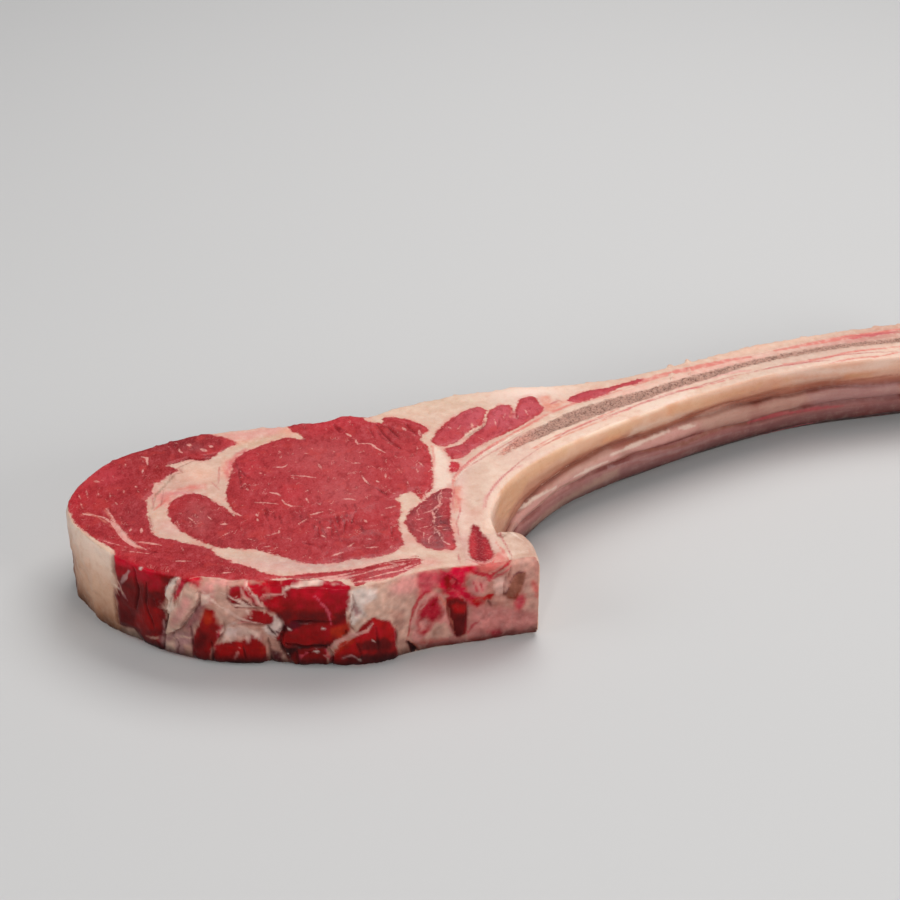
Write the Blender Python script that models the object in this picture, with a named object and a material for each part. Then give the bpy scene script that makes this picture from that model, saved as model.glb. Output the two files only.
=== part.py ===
"""Raw tomahawk steak: a thick rib steak with its whole long rib bone, lying on a cut face.

All lengths are millimetres until a mesh is made. Seen from above, X runs from the round end of
the meat to the sawn end of the bone, Y from the backbone side to the outer fat, and Z is up.
Every tissue runs through the full thickness of the cut unless a depth is named for it.
"""
import math

import bmesh
import bpy
import numpy as np
from mathutils import Matrix

# Driving dimensions
MM = 0.001
THICKNESS = 42.0
GAP = 0.3
CRUMB = 0.05
OUTLINE_STEP = 6.5
SEAM_STEP = 3.4
LONG_SEAM_STEP = 7.0
CLEAR = 20.0

# Heights at which the outer wall is shaped
WALL_LEVELS = (0, 0.8, 3, 8, 17, 25, 30, 34, 40, 42, 50)

# Rounding of the lower and upper edges of the wall
MEAT_FOOT = 2.5
MEAT_CROWN = 0.6
KNOB_CROWN = 5.0
BONE_NEAR_FOOT = 16.0
BONE_FAR_FOOT = 8.0
BONE_CROWN_AT_END = 3.5

# Creases along the inner side of the handle, as height, depth and half width
BONE_CREASE = (30.0, 2.2, 2.0)
FLESH_CREASE = (17.0, 1.2, 3.0)

# The stretch of X over which the meat's wall turns into the handle's
HANDLE_STARTS = 88.0
HANDLE_FULL = 125.0
HANDLE_ENDS = 340.0

# Low swells of the cut face, as x, y, radius in x, radius in y and height
SWELLS = (
    (12, 10, 46, 46, 1.4),
    (-84, 4, 16, 42, 0.9),
    (-30, -52, 40, 9, 0.6),
    (80, 58, 22, 16, 0.6),
    (78, -10, 10, 26, -0.7),
    (350, 150, 110, 60, -2.4),
)
FACE_GRID = 10.0

# Outer outline: the far side from the round tip to the sawn end
FAR_EDGE = (
    (-101.3, -3), (-100.3, 8), (-96, 17.5), (-90, 28), (-80, 37.3), (-70, 44), (-57, 50.5),
    (-45, 54.5), (-35, 56.8), (-24, 60), (-10, 61), (0, 64), (7, 64.5), (11, 68), (15, 71.2),
    (20, 70.7), (27, 69.4), (33, 73.5), (42, 78.5), (58, 85), (68, 90), (85, 93), (94, 96.5),
    (108, 98), (120, 99), (135, 102), (150, 107), (170, 115.5), (190, 125), (210, 135.3),
    (235, 144.6), (262, 154), (290, 161.3), (316, 167.5), (338, 172),
)
# The inner side of the handle, from the sawn end back to the notch beside the knob
INNER_EDGE = (
    (344, 139.5), (312, 133), (280, 126), (260, 121.5), (240, 116), (220, 108), (200, 98),
    (180, 87), (160, 74.5), (140, 62), (120, 46), (110, 36.5), (100, 26.5), (93, 17), (88, 7),
    (84.8, -3), (83.6, -12), (85, -20.5),
)
# The sawn backbone knob, from the notch to its front corner
KNOB_EDGE = ((85, -20.5), (90.5, -19), (96.5, -21.5), (100.5, -27.5), (102.3, -34), (103, -41.5))
# The front side, from the knob to the round tip
FRONT_EDGE = (
    (103, -41.5), (93, -43.3), (80, -47), (70, -49), (60, -51), (50, -54.3), (40, -59.3),
    (32, -62.3), (24, -64.2), (14, -63.6), (3, -63), (-8, -61.8), (-20, -62.2), (-32, -61.5),
    (-42, -59.3), (-52, -55.3), (-62, -50), (-70, -44.8), (-76, -41.3), (-82, -36.4), (-88, -30.3),
    (-95, -20.8), (-99.5, -12), (-101.3, -3),
)

# The ribeye's main muscle, with the notches of fat that cut into it
EYE_MUSCLE = (
    (-9, 72), (4, 82), (22, 84), (25.5, 71), (29, 66.5), (34, 62.5), (33.5, 68), (41, 67.6),
    (48, 65), (54, 60.5), (55.5, 56.5), (52.3, 51.5), (52.2, 47.5), (54.8, 43.5), (56.5, 35),
    (57.4, 24), (57.8, 13), (55.2, 6), (52, 2.8), (48.4, 7), (45, 3), (40.8, 0.6), (43.6, -2.6),
    (44.6, -8), (43.6, -14), (43.5, -20), (45, -28), (46.3, -33), (43.6, -37.6), (38, -41.8),
    (31, -44.2), (22, -45.8), (12, -48), (3, -47), (-6, -42.5), (-15, -38), (-26, -36.8),
    (-36, -34.2), (-44, -28.6), (-51, -21), (-56, -12.5), (-57, -5), (-54.5, 1.2), (-49, 4.6),
    (-43, 4.2), (-37.5, -0.8), (-32, -6.6), (-27, -12.8), (-29, -8), (-32.4, 0), (-32.6, 9),
    (-32, 20), (-31.4, 31), (-27.5, 38), (-20, 44.2), (-12, 49.6), (-6.5, 50.8), (-2, 49.2),
    (-5.5, 53.5), (-9.5, 60.5),
)
# The cap muscle that wraps the round end and the front
CAP_MUSCLE = (
    (-45, 64), (-45, 54.3), (-38, 51), (-31.6, 46), (-34.5, 42), (-40, 36), (-44.5, 30.8),
    (-50, 32.2), (-55.5, 31), (-60.5, 27.5), (-56.4, 25.2), (-54.6, 22.4), (-58, 20.6),
    (-62, 13.6), (-64.8, 12), (-64.4, 5), (-66.6, 0), (-65.6, -6), (-64, -14), (-61.8, -22),
    (-59, -27.8), (-51, -30), (-43, -33.2), (-35, -36.6), (-32.6, -40.8), (-26, -45.4),
    (-17, -50.2), (-10.5, -54.6), (-4, -56.6), (5, -55), (17, -52.8), (28, -50.8), (37, -46.8),
    (46, -43.6), (52, -43), (54.5, -45.4), (50.5, -50), (45, -54.6), (37, -59), (29, -61.6),
    (25.5, -72), (-30, -80), (-84, -64), (-118, -20), (-116, 24), (-92, 54), (-66, 66),
)
# The fat left on the outside of the cap muscle at the front of the round end
OUTER_FAT = (
    (-112, -7.5), (-99.6, -8.6), (-96.6, -15.6), (-92, -22.4), (-85.6, -29), (-79.6, -34.4),
    (-75.4, -38.2), (-74.8, -43.5), (-75, -54), (-98, -50), (-118, -26),
)
# The darker muscle beside the bone
INNER_MUSCLE = (
    (66, 8.6), (66, 0), (64.2, -8), (64.8, -16), (66.4, -24), (68, -32), (65.6, -36.2),
    (58.5, -37.2), (53.2, -34.2), (49.8, -28.6), (47, -21.6), (46.2, -15.4), (47.6, -9),
    (51.6, -4.6), (54.4, -0.6), (57.4, 4.4), (61.6, 7.6),
)
# The muscle between the ribs, in two bundles parted by a strand of fat
UPPER_RIB_MUSCLE = (
    (57.2, 47), (60, 54.4), (64, 62.4), (69, 70.2), (75, 76.6), (80, 77.6), (81.4, 73.4),
    (80.4, 66.4), (78, 60.8), (74.2, 56.6), (71.4, 51.4), (69.6, 46.4), (65.6, 45), (61, 42.8),
)
LOWER_RIB_MUSCLE = (
    (62.4, 41), (66.2, 43), (71, 44.8), (73.4, 50.6), (76.2, 54.8), (79.8, 58.8), (82.2, 65),
    (83, 72), (87.6, 78.8), (92, 79), (94, 75.4), (95.2, 71), (96.6, 75.4), (98.4, 83.6),
    (102, 87.6), (105.6, 87), (106.4, 81.4), (109.4, 78), (106.8, 72), (101.4, 66), (96.8, 60.8),
    (90, 54.8), (82.4, 46.8), (77, 41.8), (73, 36), (68.6, 32.8), (65, 34.4),
)
STRIP_MUSCLE = (
    (120, 83.4), (123.2, 88), (130, 92.4), (137, 94.6), (143, 97), (150, 101), (156, 104.4),
    (159, 103), (153, 98.4), (144, 92.6), (135, 87), (128, 82.4), (122.4, 81.4),
)
# The rib: its outer side, then a line outside its inner side and knob
RIB_OUTER_SIDE = (
    (370, 170), (330, 161), (288, 152), (262, 146.6), (240, 139), (220, 130.4), (200, 121),
    (180, 110.4), (160, 99.4), (140, 88.4), (120, 75), (110, 66), (100, 57), (90, 47), (80, 36.6),
    (72, 26.4), (67.6, 16), (67.2, 4), (67.8, -10), (69.4, -24), (71, -36), (71.4, -46),
    (71.4, -70),
)
RIB_INNER_SIDE = (
    (104, -70), (104, -46), (98, -36), (93, -26), (91, -18), (93, -8), (104, 10), (125, 34),
    (150, 56), (215, 92), (280, 112), (330, 122), (370, 128),
)
# The spongy marrow that shows along the sawn rib
MARROW_LINE = (
    (84.5, 33.5), (90, 40), (100, 51.4), (110, 60.4), (120, 69.4), (130, 76.6), (140, 82.6),
    (160, 92.4), (180, 103.6), (200, 114), (220, 123.4), (240, 131), (262, 138.6), (285, 143.6),
    (315, 150), (360, 160),
)
MARROW_HALF_WIDTH = (2.6, 1.7)
MARROW_DEPTH = 9.0
# The red spongy core of the rib's head
SPONGY_CORE = (
    (75, -17.4), (77.4, -18.6), (79.6, -25), (82.4, -33), (84, -41), (81.4, -45.4), (75.6, -45.6),
    (73.2, -40), (73, -30), (73.8, -21.6),
)
# The sawn backbone knob, right of the rib's head
KNOB = (
    (85.2, -16.5), (84.9, -23), (86.6, -30), (89.2, -38), (92, -45.6), (92, -70), (118, -60),
    (118, -20),
)

# Pieces seen only on the front side, as outlines in X and Z with how far back they reach in Y
BLADE_MUSCLE = (
    (-9.5, 15), (-10.5, 26), (-8.5, 36), (-5, 60), (25, 60), (25.4, 40), (25.2, 28), (22.6, 19),
    (16, 12.4), (8, 9.4), (-2, 10.6),
)
BLADE_MUSCLE_BACK = -58.6
LOWER_MUSCLE = (
    (15.4, -10), (16.4, 7), (21, 11.4), (27, 16), (32, 21), (36, 25), (40, 23.6), (43, 19.6),
    (43.4, 13), (42.6, 7), (45.6, -10),
)
LOWER_MUSCLE_BACK = -51.5
SPINE_BONE = (
    (48, -10), (49, 9), (50.4, 17), (53, 24.4), (56.6, 29.4), (60, 28.4), (62.4, 22), (63.8, 12),
    (65, -10),
)
SPINE_BONE_BACK = -44.0
# The underside of the rib along the handle: what lies below is flesh
RIB_UNDERSIDE = (
    (87, -10), (89.4, 8), (93, 16), (98.6, 22.4), (106, 26), (120, 28), (140, 30), (200, 30),
    (250, 28.6), (280, 26.4), (370, 24),
)

# Colours as red, green and blue out of 255, with roughness
COLOURS = {
    "eye_muscle": ((176, 58, 62), 0.38),
    "cap_muscle": ((168, 44, 52), 0.38),
    "inner_muscle": ((140, 56, 60), 0.4),
    "upper_rib_muscle": ((184, 66, 74), 0.38),
    "lower_rib_muscle": ((180, 62, 70), 0.38),
    "strip_muscle": ((176, 56, 66), 0.38),
    "blade_muscle": ((120, 22, 34), 0.35),
    "lower_muscle": ((142, 26, 26), 0.35),
    "outer_fat": ((222, 194, 162), 0.45),
    "seam_fat": ((232, 204, 180), 0.45),
    "rib_bone": ((234, 208, 188), 0.5),
    "rib_marrow": ((152, 122, 106), 0.75),
    "spongy_core": ((176, 82, 82), 0.7),
    "rib_flesh": ((172, 124, 114), 0.42),
    "knob_bone": ((230, 208, 178), 0.48),
    "spine_bone": ((206, 144, 132), 0.55),
}


def clear_scene():
    for thing in list(bpy.data.objects):
        bpy.data.objects.remove(thing, do_unlink=True)


def smoothstep(low, high, value):
    share = np.clip((value - low) / (high - low), 0.0, 1.0)
    return share * share * (3 - 2 * share)


def curve_through(points, closed, step):
    """A smooth curve through the points, with its own points evenly spaced."""
    points = np.array(points, float)
    if closed:
        padded = np.vstack([points[-1:], points, points[:2]])
    else:
        padded = np.vstack([2 * points[0] - points[1], points, 2 * points[-1] - points[-2]])
    share = np.linspace(0, 1, 16, endpoint=False)[:, None]
    pieces = []
    for before, start, end, after in zip(padded, padded[1:], padded[2:], padded[3:]):
        cubic = -before + 3 * start - 3 * end + after
        square = 2 * before - 5 * start + 4 * end - after
        pieces.append(start + 0.5 * share * ((end - before) + share * (square + share * cubic)))
    pieces.append(padded[-2:-1])
    dense = np.vstack(pieces)
    length = np.concatenate([[0], np.cumsum(np.linalg.norm(np.diff(dense, axis=0), axis=1))])
    count = max(int(round(length[-1] / step)), 2)
    spots = np.linspace(0, length[-1], count + 1)
    curve = np.column_stack([np.interp(spots, length, dense[:, axis]) for axis in (0, 1)])
    return curve[:-1] if closed else curve


def is_anticlockwise(loop):
    after = np.roll(loop, -1, axis=0)
    return np.sum(loop[:, 0] * after[:, 1] - after[:, 0] * loop[:, 1]) > 0


def inward_normals(curve, closed):
    """Unit normals on the left of the direction of travel."""
    if closed:
        along = np.roll(curve, -1, axis=0) - np.roll(curve, 1, axis=0)
    else:
        along = np.gradient(curve, axis=0)
    along /= np.linalg.norm(along, axis=1)[:, None]
    return np.column_stack([-along[:, 1], along[:, 0]])


def grown(loop, distance):
    """The closed loop, anticlockwise, moved outward by the distance."""
    if not is_anticlockwise(loop):
        loop = loop[::-1]
    return loop - distance * inward_normals(loop, True)


def solid_from_rings(name, rings):
    """A closed body through rings of equally many points, from the lowest to the highest."""
    mesh = bmesh.new()
    rows = [[mesh.verts.new([value * MM for value in point]) for point in ring] for ring in rings]
    for low, high in zip(rows, rows[1:]):
        for left, right in zip(range(len(low)), [*range(1, len(low)), 0]):
            mesh.faces.new((low[left], low[right], high[right], high[left]))
    mesh.faces.new(rows[0][::-1])
    mesh.faces.new(rows[-1])
    bmesh.ops.recalc_face_normals(mesh, faces=mesh.faces)
    data = bpy.data.meshes.new(name)
    mesh.to_mesh(data)
    mesh.free()
    thing = bpy.data.objects.new(name, data)
    bpy.context.scene.collection.objects.link(thing)
    return thing


def boolean(thing, cutter, operation):
    """Applies one Boolean to the object's own mesh."""
    modifier = thing.modifiers.new("Cut", "BOOLEAN")
    modifier.operation = operation
    modifier.solver = "EXACT"
    modifier.object = cutter
    evaluated = thing.evaluated_get(bpy.context.evaluated_depsgraph_get())
    result = bpy.data.meshes.new_from_object(evaluated)
    thing.modifiers.clear()
    old = thing.data
    thing.data = result
    bpy.data.meshes.remove(old)


def plan_shape(points, step=SEAM_STEP):
    """A cutter standing through the whole steak, from an outline seen from above."""
    loop = curve_through(points, True, step)

    def make(growth):
        edge = grown(loop, growth)
        low = [(x, y, -CLEAR) for x, y in edge]
        high = [(x, y, THICKNESS + CLEAR) for x, y in edge]
        return solid_from_rings("cutter", [low, high])

    return make


def side_shape(points, front, back):
    """A cutter lying along Y, from an outline in X and Z."""
    loop = curve_through(points, True, SEAM_STEP)

    def make(growth):
        edge = grown(loop, growth)
        near = [(x, front, z) for x, z in edge]
        far = [(x, back + growth, z) for x, z in edge]
        return solid_from_rings("cutter", [near, far])

    return make


def take(name, source, shape):
    """Parts off what lies inside the shape as a new object, with the gap left all round it."""
    piece = bpy.data.objects.new(name, source.data.copy())
    bpy.context.scene.collection.objects.link(piece)
    for thing, growth, operation in ((piece, -GAP / 2, "INTERSECT"), (source, GAP / 2, "DIFFERENCE")):
        cutter = shape(growth)
        boolean(thing, cutter, operation)
        bpy.data.objects.remove(cutter)
    return piece


def foot_inset(height, radius):
    """How far a wall stands in at this height above a rounded lower edge."""
    drop = np.clip(radius - height, 0, radius)
    return radius - np.sqrt(radius ** 2 - drop ** 2)


def crown_inset(height, radius):
    rise = np.clip(height - (THICKNESS - radius), 0, radius)
    return radius - np.sqrt(radius ** 2 - rise ** 2)


def dent(height, crease):
    middle, depth, half_width = crease
    return depth * np.exp(-((height - middle) / half_width) ** 2)


def wall_inset(stretch, along, x, height):
    """How far in the wall stands from the outline, at a place on it and a height."""
    handle = smoothstep(HANDLE_STARTS, HANDLE_FULL, x)
    ripple = 0.45 * np.sin(along / 11.0 + height / 9.0) * np.sin(along / 29.0 + 1.0)
    meat = foot_inset(height, MEAT_FOOT) + crown_inset(height, MEAT_CROWN)
    if stretch == "far":
        bone = foot_inset(height, BONE_FAR_FOOT) + crown_inset(height, MEAT_CROWN)
    elif stretch == "inner":
        crown = MEAT_CROWN + (BONE_CROWN_AT_END - MEAT_CROWN) * smoothstep(150, HANDLE_ENDS, x)
        bone = foot_inset(height, BONE_NEAR_FOOT) + crown_inset(height, crown)
        bone = bone + dent(height, BONE_CREASE) + dent(height, FLESH_CREASE)
    elif stretch == "knob":
        return foot_inset(height, MEAT_FOOT) + crown_inset(height, KNOB_CROWN)
    else:
        return meat + ripple
    return meat * (1 - handle) + bone * handle + ripple * (1 - handle)


def outline_stretches():
    """The four stretches of the outline, each with its points and inward normals."""
    for name, points in (
        ("front", FRONT_EDGE[::-1]),
        ("knob", KNOB_EDGE[::-1]),
        ("inner", INNER_EDGE[::-1]),
        ("far", FAR_EDGE[::-1]),
    ):
        curve = curve_through(points, False, OUTLINE_STEP)
        normals = inward_normals(curve, False)
        first = 0 if name in ("front", "far") else 1
        last = len(curve) - 1 if name == "far" else len(curve)
        yield name, curve[first:last], normals[first:last]


def whole_steak():
    """The outer form: the outline, with its wall shaped height by height."""
    rings = []
    for height in WALL_LEVELS:
        ring = []
        along = 0.0
        for name, curve, normals in outline_stretches():
            for (x, y), normal in zip(curve, normals):
                inset = wall_inset(name, along, x, height)
                ring.append((x + normal[0] * inset, y + normal[1] * inset, height))
                along += OUTLINE_STEP
        rings.append(ring)
    return solid_from_rings("steak", rings)


def face_height(x, y):
    """The height of the upper cut face."""
    height = THICKNESS
    for middle_x, middle_y, reach_x, reach_y, rise in SWELLS:
        far = ((x - middle_x) / reach_x) ** 2 + ((y - middle_y) / reach_y) ** 2
        height += rise * math.exp(-far)
    return height


def trim_to_face(steak):
    """Cuts the steak off along its gently uneven upper face."""
    corners = [vertex.co / MM for vertex in steak.data.vertices]
    low = [min(corner[axis] for corner in corners) - FACE_GRID for axis in (0, 1)]
    high = [max(corner[axis] for corner in corners) + FACE_GRID for axis in (0, 1)]
    cells = [math.ceil((high[axis] - low[axis]) / FACE_GRID) for axis in (0, 1)]
    mesh = bmesh.new()
    bmesh.ops.create_grid(mesh, x_segments=cells[0], y_segments=cells[1], size=0.5)
    for vertex in mesh.verts:
        x = low[0] + (vertex.co.x + 0.5) * (high[0] - low[0])
        y = low[1] + (vertex.co.y + 0.5) * (high[1] - low[1])
        vertex.co = (x * MM, y * MM, face_height(x, y) * MM)
    bmesh.ops.triangulate(mesh, faces=mesh.faces)
    top = bmesh.ops.extrude_face_region(mesh, geom=mesh.faces[:])
    for vertex in (item for item in top["geom"] if isinstance(item, bmesh.types.BMVert)):
        vertex.co.z = (THICKNESS + CLEAR) * MM
    bmesh.ops.recalc_face_normals(mesh, faces=mesh.faces)
    data = bpy.data.meshes.new("above")
    mesh.to_mesh(data)
    mesh.free()
    above = bpy.data.objects.new("above", data)
    bpy.context.scene.collection.objects.link(above)
    boolean(steak, above, "DIFFERENCE")
    bpy.data.objects.remove(above)


def marrow_shape(growth):
    """The strip of marrow, tapering along the rib and set into its sawn face."""
    line = curve_through(MARROW_LINE, False, LONG_SEAM_STEP)
    normals = inward_normals(line, False)
    width = np.linspace(*MARROW_HALF_WIDTH, len(line))
    width[0] = width[0] * 0.4
    width = (width + growth)[:, None]
    loop = np.vstack([line + normals * width, (line - normals * width)[::-1]])
    floor = THICKNESS - MARROW_DEPTH - growth
    low = [(x, y, floor) for x, y in loop]
    high = [(x, y, THICKNESS + CLEAR) for x, y in loop]
    return solid_from_rings("cutter", [low, high])


def tidy_mesh(thing):
    """Splits the faces into triangles and clears away the crumbs that the cuts leave."""
    mesh = bmesh.new()
    mesh.from_mesh(thing.data)
    bmesh.ops.dissolve_degenerate(mesh, dist=CRUMB * MM, edges=mesh.edges)
    bmesh.ops.triangulate(mesh, faces=mesh.faces)
    bmesh.ops.dissolve_degenerate(mesh, dist=CRUMB * MM, edges=mesh.edges)
    bmesh.ops.triangulate(mesh, faces=mesh.faces)
    mesh.to_mesh(thing.data)
    mesh.free()


def finish(thing):
    """Gives the piece its own material and soft shading with crisp cut edges."""
    tidy_mesh(thing)
    (red, green, blue), roughness = COLOURS[thing.name]
    material = bpy.data.materials.new(thing.name)
    material.use_nodes = True
    shader = material.node_tree.nodes["Principled BSDF"]
    linear = [(channel / 255) ** 2.2 for channel in (red, green, blue)]
    shader.inputs["Base Color"].default_value = (*linear, 1)
    shader.inputs["Roughness"].default_value = roughness
    shader.inputs["Metallic"].default_value = 0
    material.diffuse_color = (*linear, 1)
    thing.data.materials.clear()
    thing.data.materials.append(material)
    thing.data.shade_smooth()
    thing.data.set_sharp_from_angle(angle=math.radians(32))


def build():
    clear_scene()
    steak = whole_steak()
    trim_to_face(steak)
    corners = [vertex.co for vertex in steak.data.vertices]
    middle = [(min(c[axis] for c in corners) + max(c[axis] for c in corners)) / 2 for axis in (0, 1)]

    rib_outline = (*RIB_OUTER_SIDE, *RIB_INNER_SIDE)
    flesh_outline = (*RIB_UNDERSIDE, (370, -10), (340, -12), (110, -12))
    pieces = [
        take("knob_bone", steak, plan_shape(KNOB)),
        take("spine_bone", steak, side_shape(SPINE_BONE, -90, SPINE_BONE_BACK)),
        take("lower_muscle", steak, side_shape(LOWER_MUSCLE, -90, LOWER_MUSCLE_BACK)),
        take("blade_muscle", steak, side_shape(BLADE_MUSCLE, -90, BLADE_MUSCLE_BACK)),
        take("spongy_core", steak, plan_shape(SPONGY_CORE)),
        take("rib_marrow", steak, marrow_shape),
    ]
    rib = take("rib_bone", steak, plan_shape(rib_outline, LONG_SEAM_STEP))
    pieces.append(rib)
    pieces.append(take("rib_flesh", rib, side_shape(flesh_outline, -18, 220)))
    for name, outline in (
        ("outer_fat", OUTER_FAT),
        ("eye_muscle", EYE_MUSCLE),
        ("cap_muscle", CAP_MUSCLE),
        ("inner_muscle", INNER_MUSCLE),
        ("upper_rib_muscle", UPPER_RIB_MUSCLE),
        ("lower_rib_muscle", LOWER_RIB_MUSCLE),
        ("strip_muscle", STRIP_MUSCLE),
    ):
        pieces.append(take(name, steak, plan_shape(outline)))
    steak.name = "seam_fat"
    pieces.append(steak)
    shift = Matrix.Translation((-middle[0], -middle[1], 0))
    for piece in pieces:
        piece.data.transform(shift)
        finish(piece)


build()
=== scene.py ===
# %% [markdown]
# # A raw tomahawk steak
# The steak lies on one of its two cut faces. A rib steak is a slice through many tissues: the
# ribeye, the cap muscle, the fat between them, the bundles between the ribs, and the rib itself,
# sawn lengthwise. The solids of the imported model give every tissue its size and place. This
# lesson turns each of them into a dense, soft skin and gives it the look of fresh meat.

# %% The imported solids
import itertools
import math
import time
import bmesh
import bpy
import numpy as np
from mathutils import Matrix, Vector
from mathutils.bvhtree import BVHTree


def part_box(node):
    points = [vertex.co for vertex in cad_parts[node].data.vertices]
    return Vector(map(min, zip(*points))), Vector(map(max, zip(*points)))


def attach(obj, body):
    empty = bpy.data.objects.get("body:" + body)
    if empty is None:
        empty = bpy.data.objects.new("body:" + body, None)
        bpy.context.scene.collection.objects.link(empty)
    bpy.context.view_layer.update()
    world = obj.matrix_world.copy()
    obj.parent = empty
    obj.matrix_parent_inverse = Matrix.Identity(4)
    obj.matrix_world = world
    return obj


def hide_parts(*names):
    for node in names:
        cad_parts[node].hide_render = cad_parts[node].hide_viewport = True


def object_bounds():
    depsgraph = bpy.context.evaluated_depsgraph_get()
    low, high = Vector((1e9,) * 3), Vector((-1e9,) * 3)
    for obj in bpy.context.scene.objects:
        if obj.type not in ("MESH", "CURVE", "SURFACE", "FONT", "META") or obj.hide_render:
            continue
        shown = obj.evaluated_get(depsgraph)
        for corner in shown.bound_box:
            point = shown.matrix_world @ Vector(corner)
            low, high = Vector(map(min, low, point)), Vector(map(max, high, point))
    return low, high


started = time.time()
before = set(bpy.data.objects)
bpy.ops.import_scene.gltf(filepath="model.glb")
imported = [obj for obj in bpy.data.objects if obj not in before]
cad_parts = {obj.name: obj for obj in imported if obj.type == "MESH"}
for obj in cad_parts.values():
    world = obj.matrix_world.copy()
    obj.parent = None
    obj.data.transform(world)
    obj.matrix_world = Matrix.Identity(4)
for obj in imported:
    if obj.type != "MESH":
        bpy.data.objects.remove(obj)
CAD_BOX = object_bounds()
MM = 0.001
print("solids:", sorted(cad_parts))
print("box in mm:", [[round(value / MM, 1) for value in corner] for corner in CAD_BOX])

# %% [markdown]
# ## The view
# The eye stands about 80 cm away and looks down at the steak at a third of a right angle, with
# a short telephoto lens. A longer lens would flatten the bone's far end, and a shorter one would
# make the round end of the meat too large.

# %% The camera
camera_data = bpy.data.cameras.new("camera")
camera_data.lens = 80
camera_data.sensor_width = 36
camera = bpy.data.objects.new("camera", camera_data)
camera.location = (-0.055952, -0.774712, 0.528811)
camera.rotation_euler = (math.radians(57.4), 0, 0)
bpy.context.scene.collection.objects.link(camera)
bpy.context.scene.camera = camera
print("the lens's angle is", round(math.degrees(camera_data.angle), 1), "degrees")

# %% [markdown]
# ## Floor and light
# A pale floor and soft boxes keep the wet highlights broad. One large box hangs above and
# behind, so that the cut face is the brightest side and the front side falls off a little. A box
# at the right lights the hollow side of the rib, and two weak ones fill the rest. A small box
# gives wet meat its bright points.

# %% A pale floor
floor_mesh = bmesh.new()
bmesh.ops.create_grid(floor_mesh, x_segments=1, y_segments=1, size=4)
bmesh.ops.translate(floor_mesh, verts=floor_mesh.verts, vec=(0, 0, -0.0002))
floor_data = bpy.data.meshes.new("floor")
floor_mesh.to_mesh(floor_data)
floor_mesh.free()
floor = bpy.data.objects.new("floor", floor_data)
floor_paint = bpy.data.materials.new("pale_floor")
floor_paint.use_nodes = True
floor_shader = floor_paint.node_tree.nodes["Principled BSDF"]
floor_shader.inputs["Base Color"].default_value = (0.56, 0.55, 0.54, 1)
floor_shader.inputs["Roughness"].default_value = 0.7
floor_data.materials.append(floor_paint)
bpy.context.scene.collection.objects.link(floor)
print("the floor is", round(floor.dimensions.x, 1), "m wide")

# %% Soft boxes and sky
def soft_box(name, place, width, height, power):
    """A rectangle of light that faces the middle of the steak, in metres and watts."""
    data = bpy.data.lights.new(name, "AREA")
    data.shape = "RECTANGLE"
    data.size, data.size_y, data.energy = width, height, power
    box = bpy.data.objects.new(name, data)
    box.location = place
    box.rotation_euler = (Vector((0, 0, 0.02)) - Vector(place)).to_track_quat("-Z", "Y").to_euler()
    bpy.context.scene.collection.objects.link(box)
    return box


soft_box("light_above", (0.25, 0.6, 1.2), 1.1, 0.8, 14.0)
soft_box("light_left", (-1.1, -0.35, 0.8), 0.7, 0.6, 3.5)
soft_box("light_right", (1.0, -0.9, 0.6), 0.6, 0.5, 7.5)
soft_box("light_front", (-0.1, -1.3, 0.75), 0.9, 0.4, 2.5)
soft_box("light_for_glints", (-0.25, -1.0, 0.75), 0.07, 0.07, 1.4)
sky = bpy.data.worlds.new("sky")
sky.use_nodes = True
sky.node_tree.nodes["Background"].inputs["Color"].default_value = (0.92, 0.95, 1, 1)
sky.node_tree.nodes["Background"].inputs["Strength"].default_value = 0.24
bpy.context.scene.world = sky
bpy.context.scene.view_settings.view_transform = "Standard"

# %% [markdown]
# ## Skins for the tissues
# The tissues of a steak have grown together, but the solids keep a hair's gap between them. So
# each copy first grows into its neighbours where their walls face each other, and only there.
# Then a voxel remesh gives it even, small faces, which a subdivision of such long triangles
# could not. The walls buried between two tissues get large faces again, because nobody sees them.

# %% Which walls face a neighbour
def merged_copy(node):
    mesh = bmesh.new()
    mesh.from_mesh(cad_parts[node].data)
    bmesh.ops.remove_doubles(mesh, verts=mesh.verts, dist=0.01 * MM)
    mesh.normal_update()
    return mesh


def tree_of(meshes, kept=lambda face: True):
    """A search tree over the kept faces of several bmeshes."""
    corners, faces = [], []
    for mesh in meshes:
        first = len(corners)
        mesh.verts.index_update()
        corners += [corner.co.copy() for corner in mesh.verts]
        faces += [[first + corner.index for corner in face.verts]
                  for face in mesh.faces if kept(face)]
    return BVHTree.FromPolygons(corners, faces)


NEIGHBOUR_REACH = 1.2 * MM
solids = {node: merged_copy(node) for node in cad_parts}
WALLS = tree_of(solids.values())


def faces_a_neighbour(face):
    start = face.calc_center_median() + face.normal * 0.03 * MM
    return WALLS.ray_cast(start, face.normal, NEIGHBOUR_REACH)[0] is not None


hidden = {face for mesh in solids.values() for face in mesh.faces if faces_a_neighbour(face)}
OUTSIDE = tree_of(solids.values(), lambda face: face not in hidden)
print("walls between tissues:", len(hidden), "of", sum(len(mesh.faces) for mesh in solids.values()))

# %% Outlines of the tissues, before they grow
PLAN_SHIFT = np.array((121.169, 53.857, 0))
TISSUES = {
    "lean": (("eye_muscle", "cap_muscle", "inner_muscle", "upper_rib_muscle", "lower_rib_muscle",
              "strip_muscle"), 39.0),
    "bone": (("rib_bone", "rib_marrow", "spongy_core", "knob_bone"), 38.0),
    "marrow": (("rib_marrow",), 38.0),
    "core": (("spongy_core",), 38.0),
    "knob": (("knob_bone",), 20.0),
    "inner": (("inner_muscle",), 20.0),
    "between_ribs": (("upper_rib_muscle", "lower_rib_muscle", "strip_muscle"), 20.0),
    "rind": (("outer_fat",), 20.0),
}
GRID_STEP = 1.0
FAR = 9.0


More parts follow.
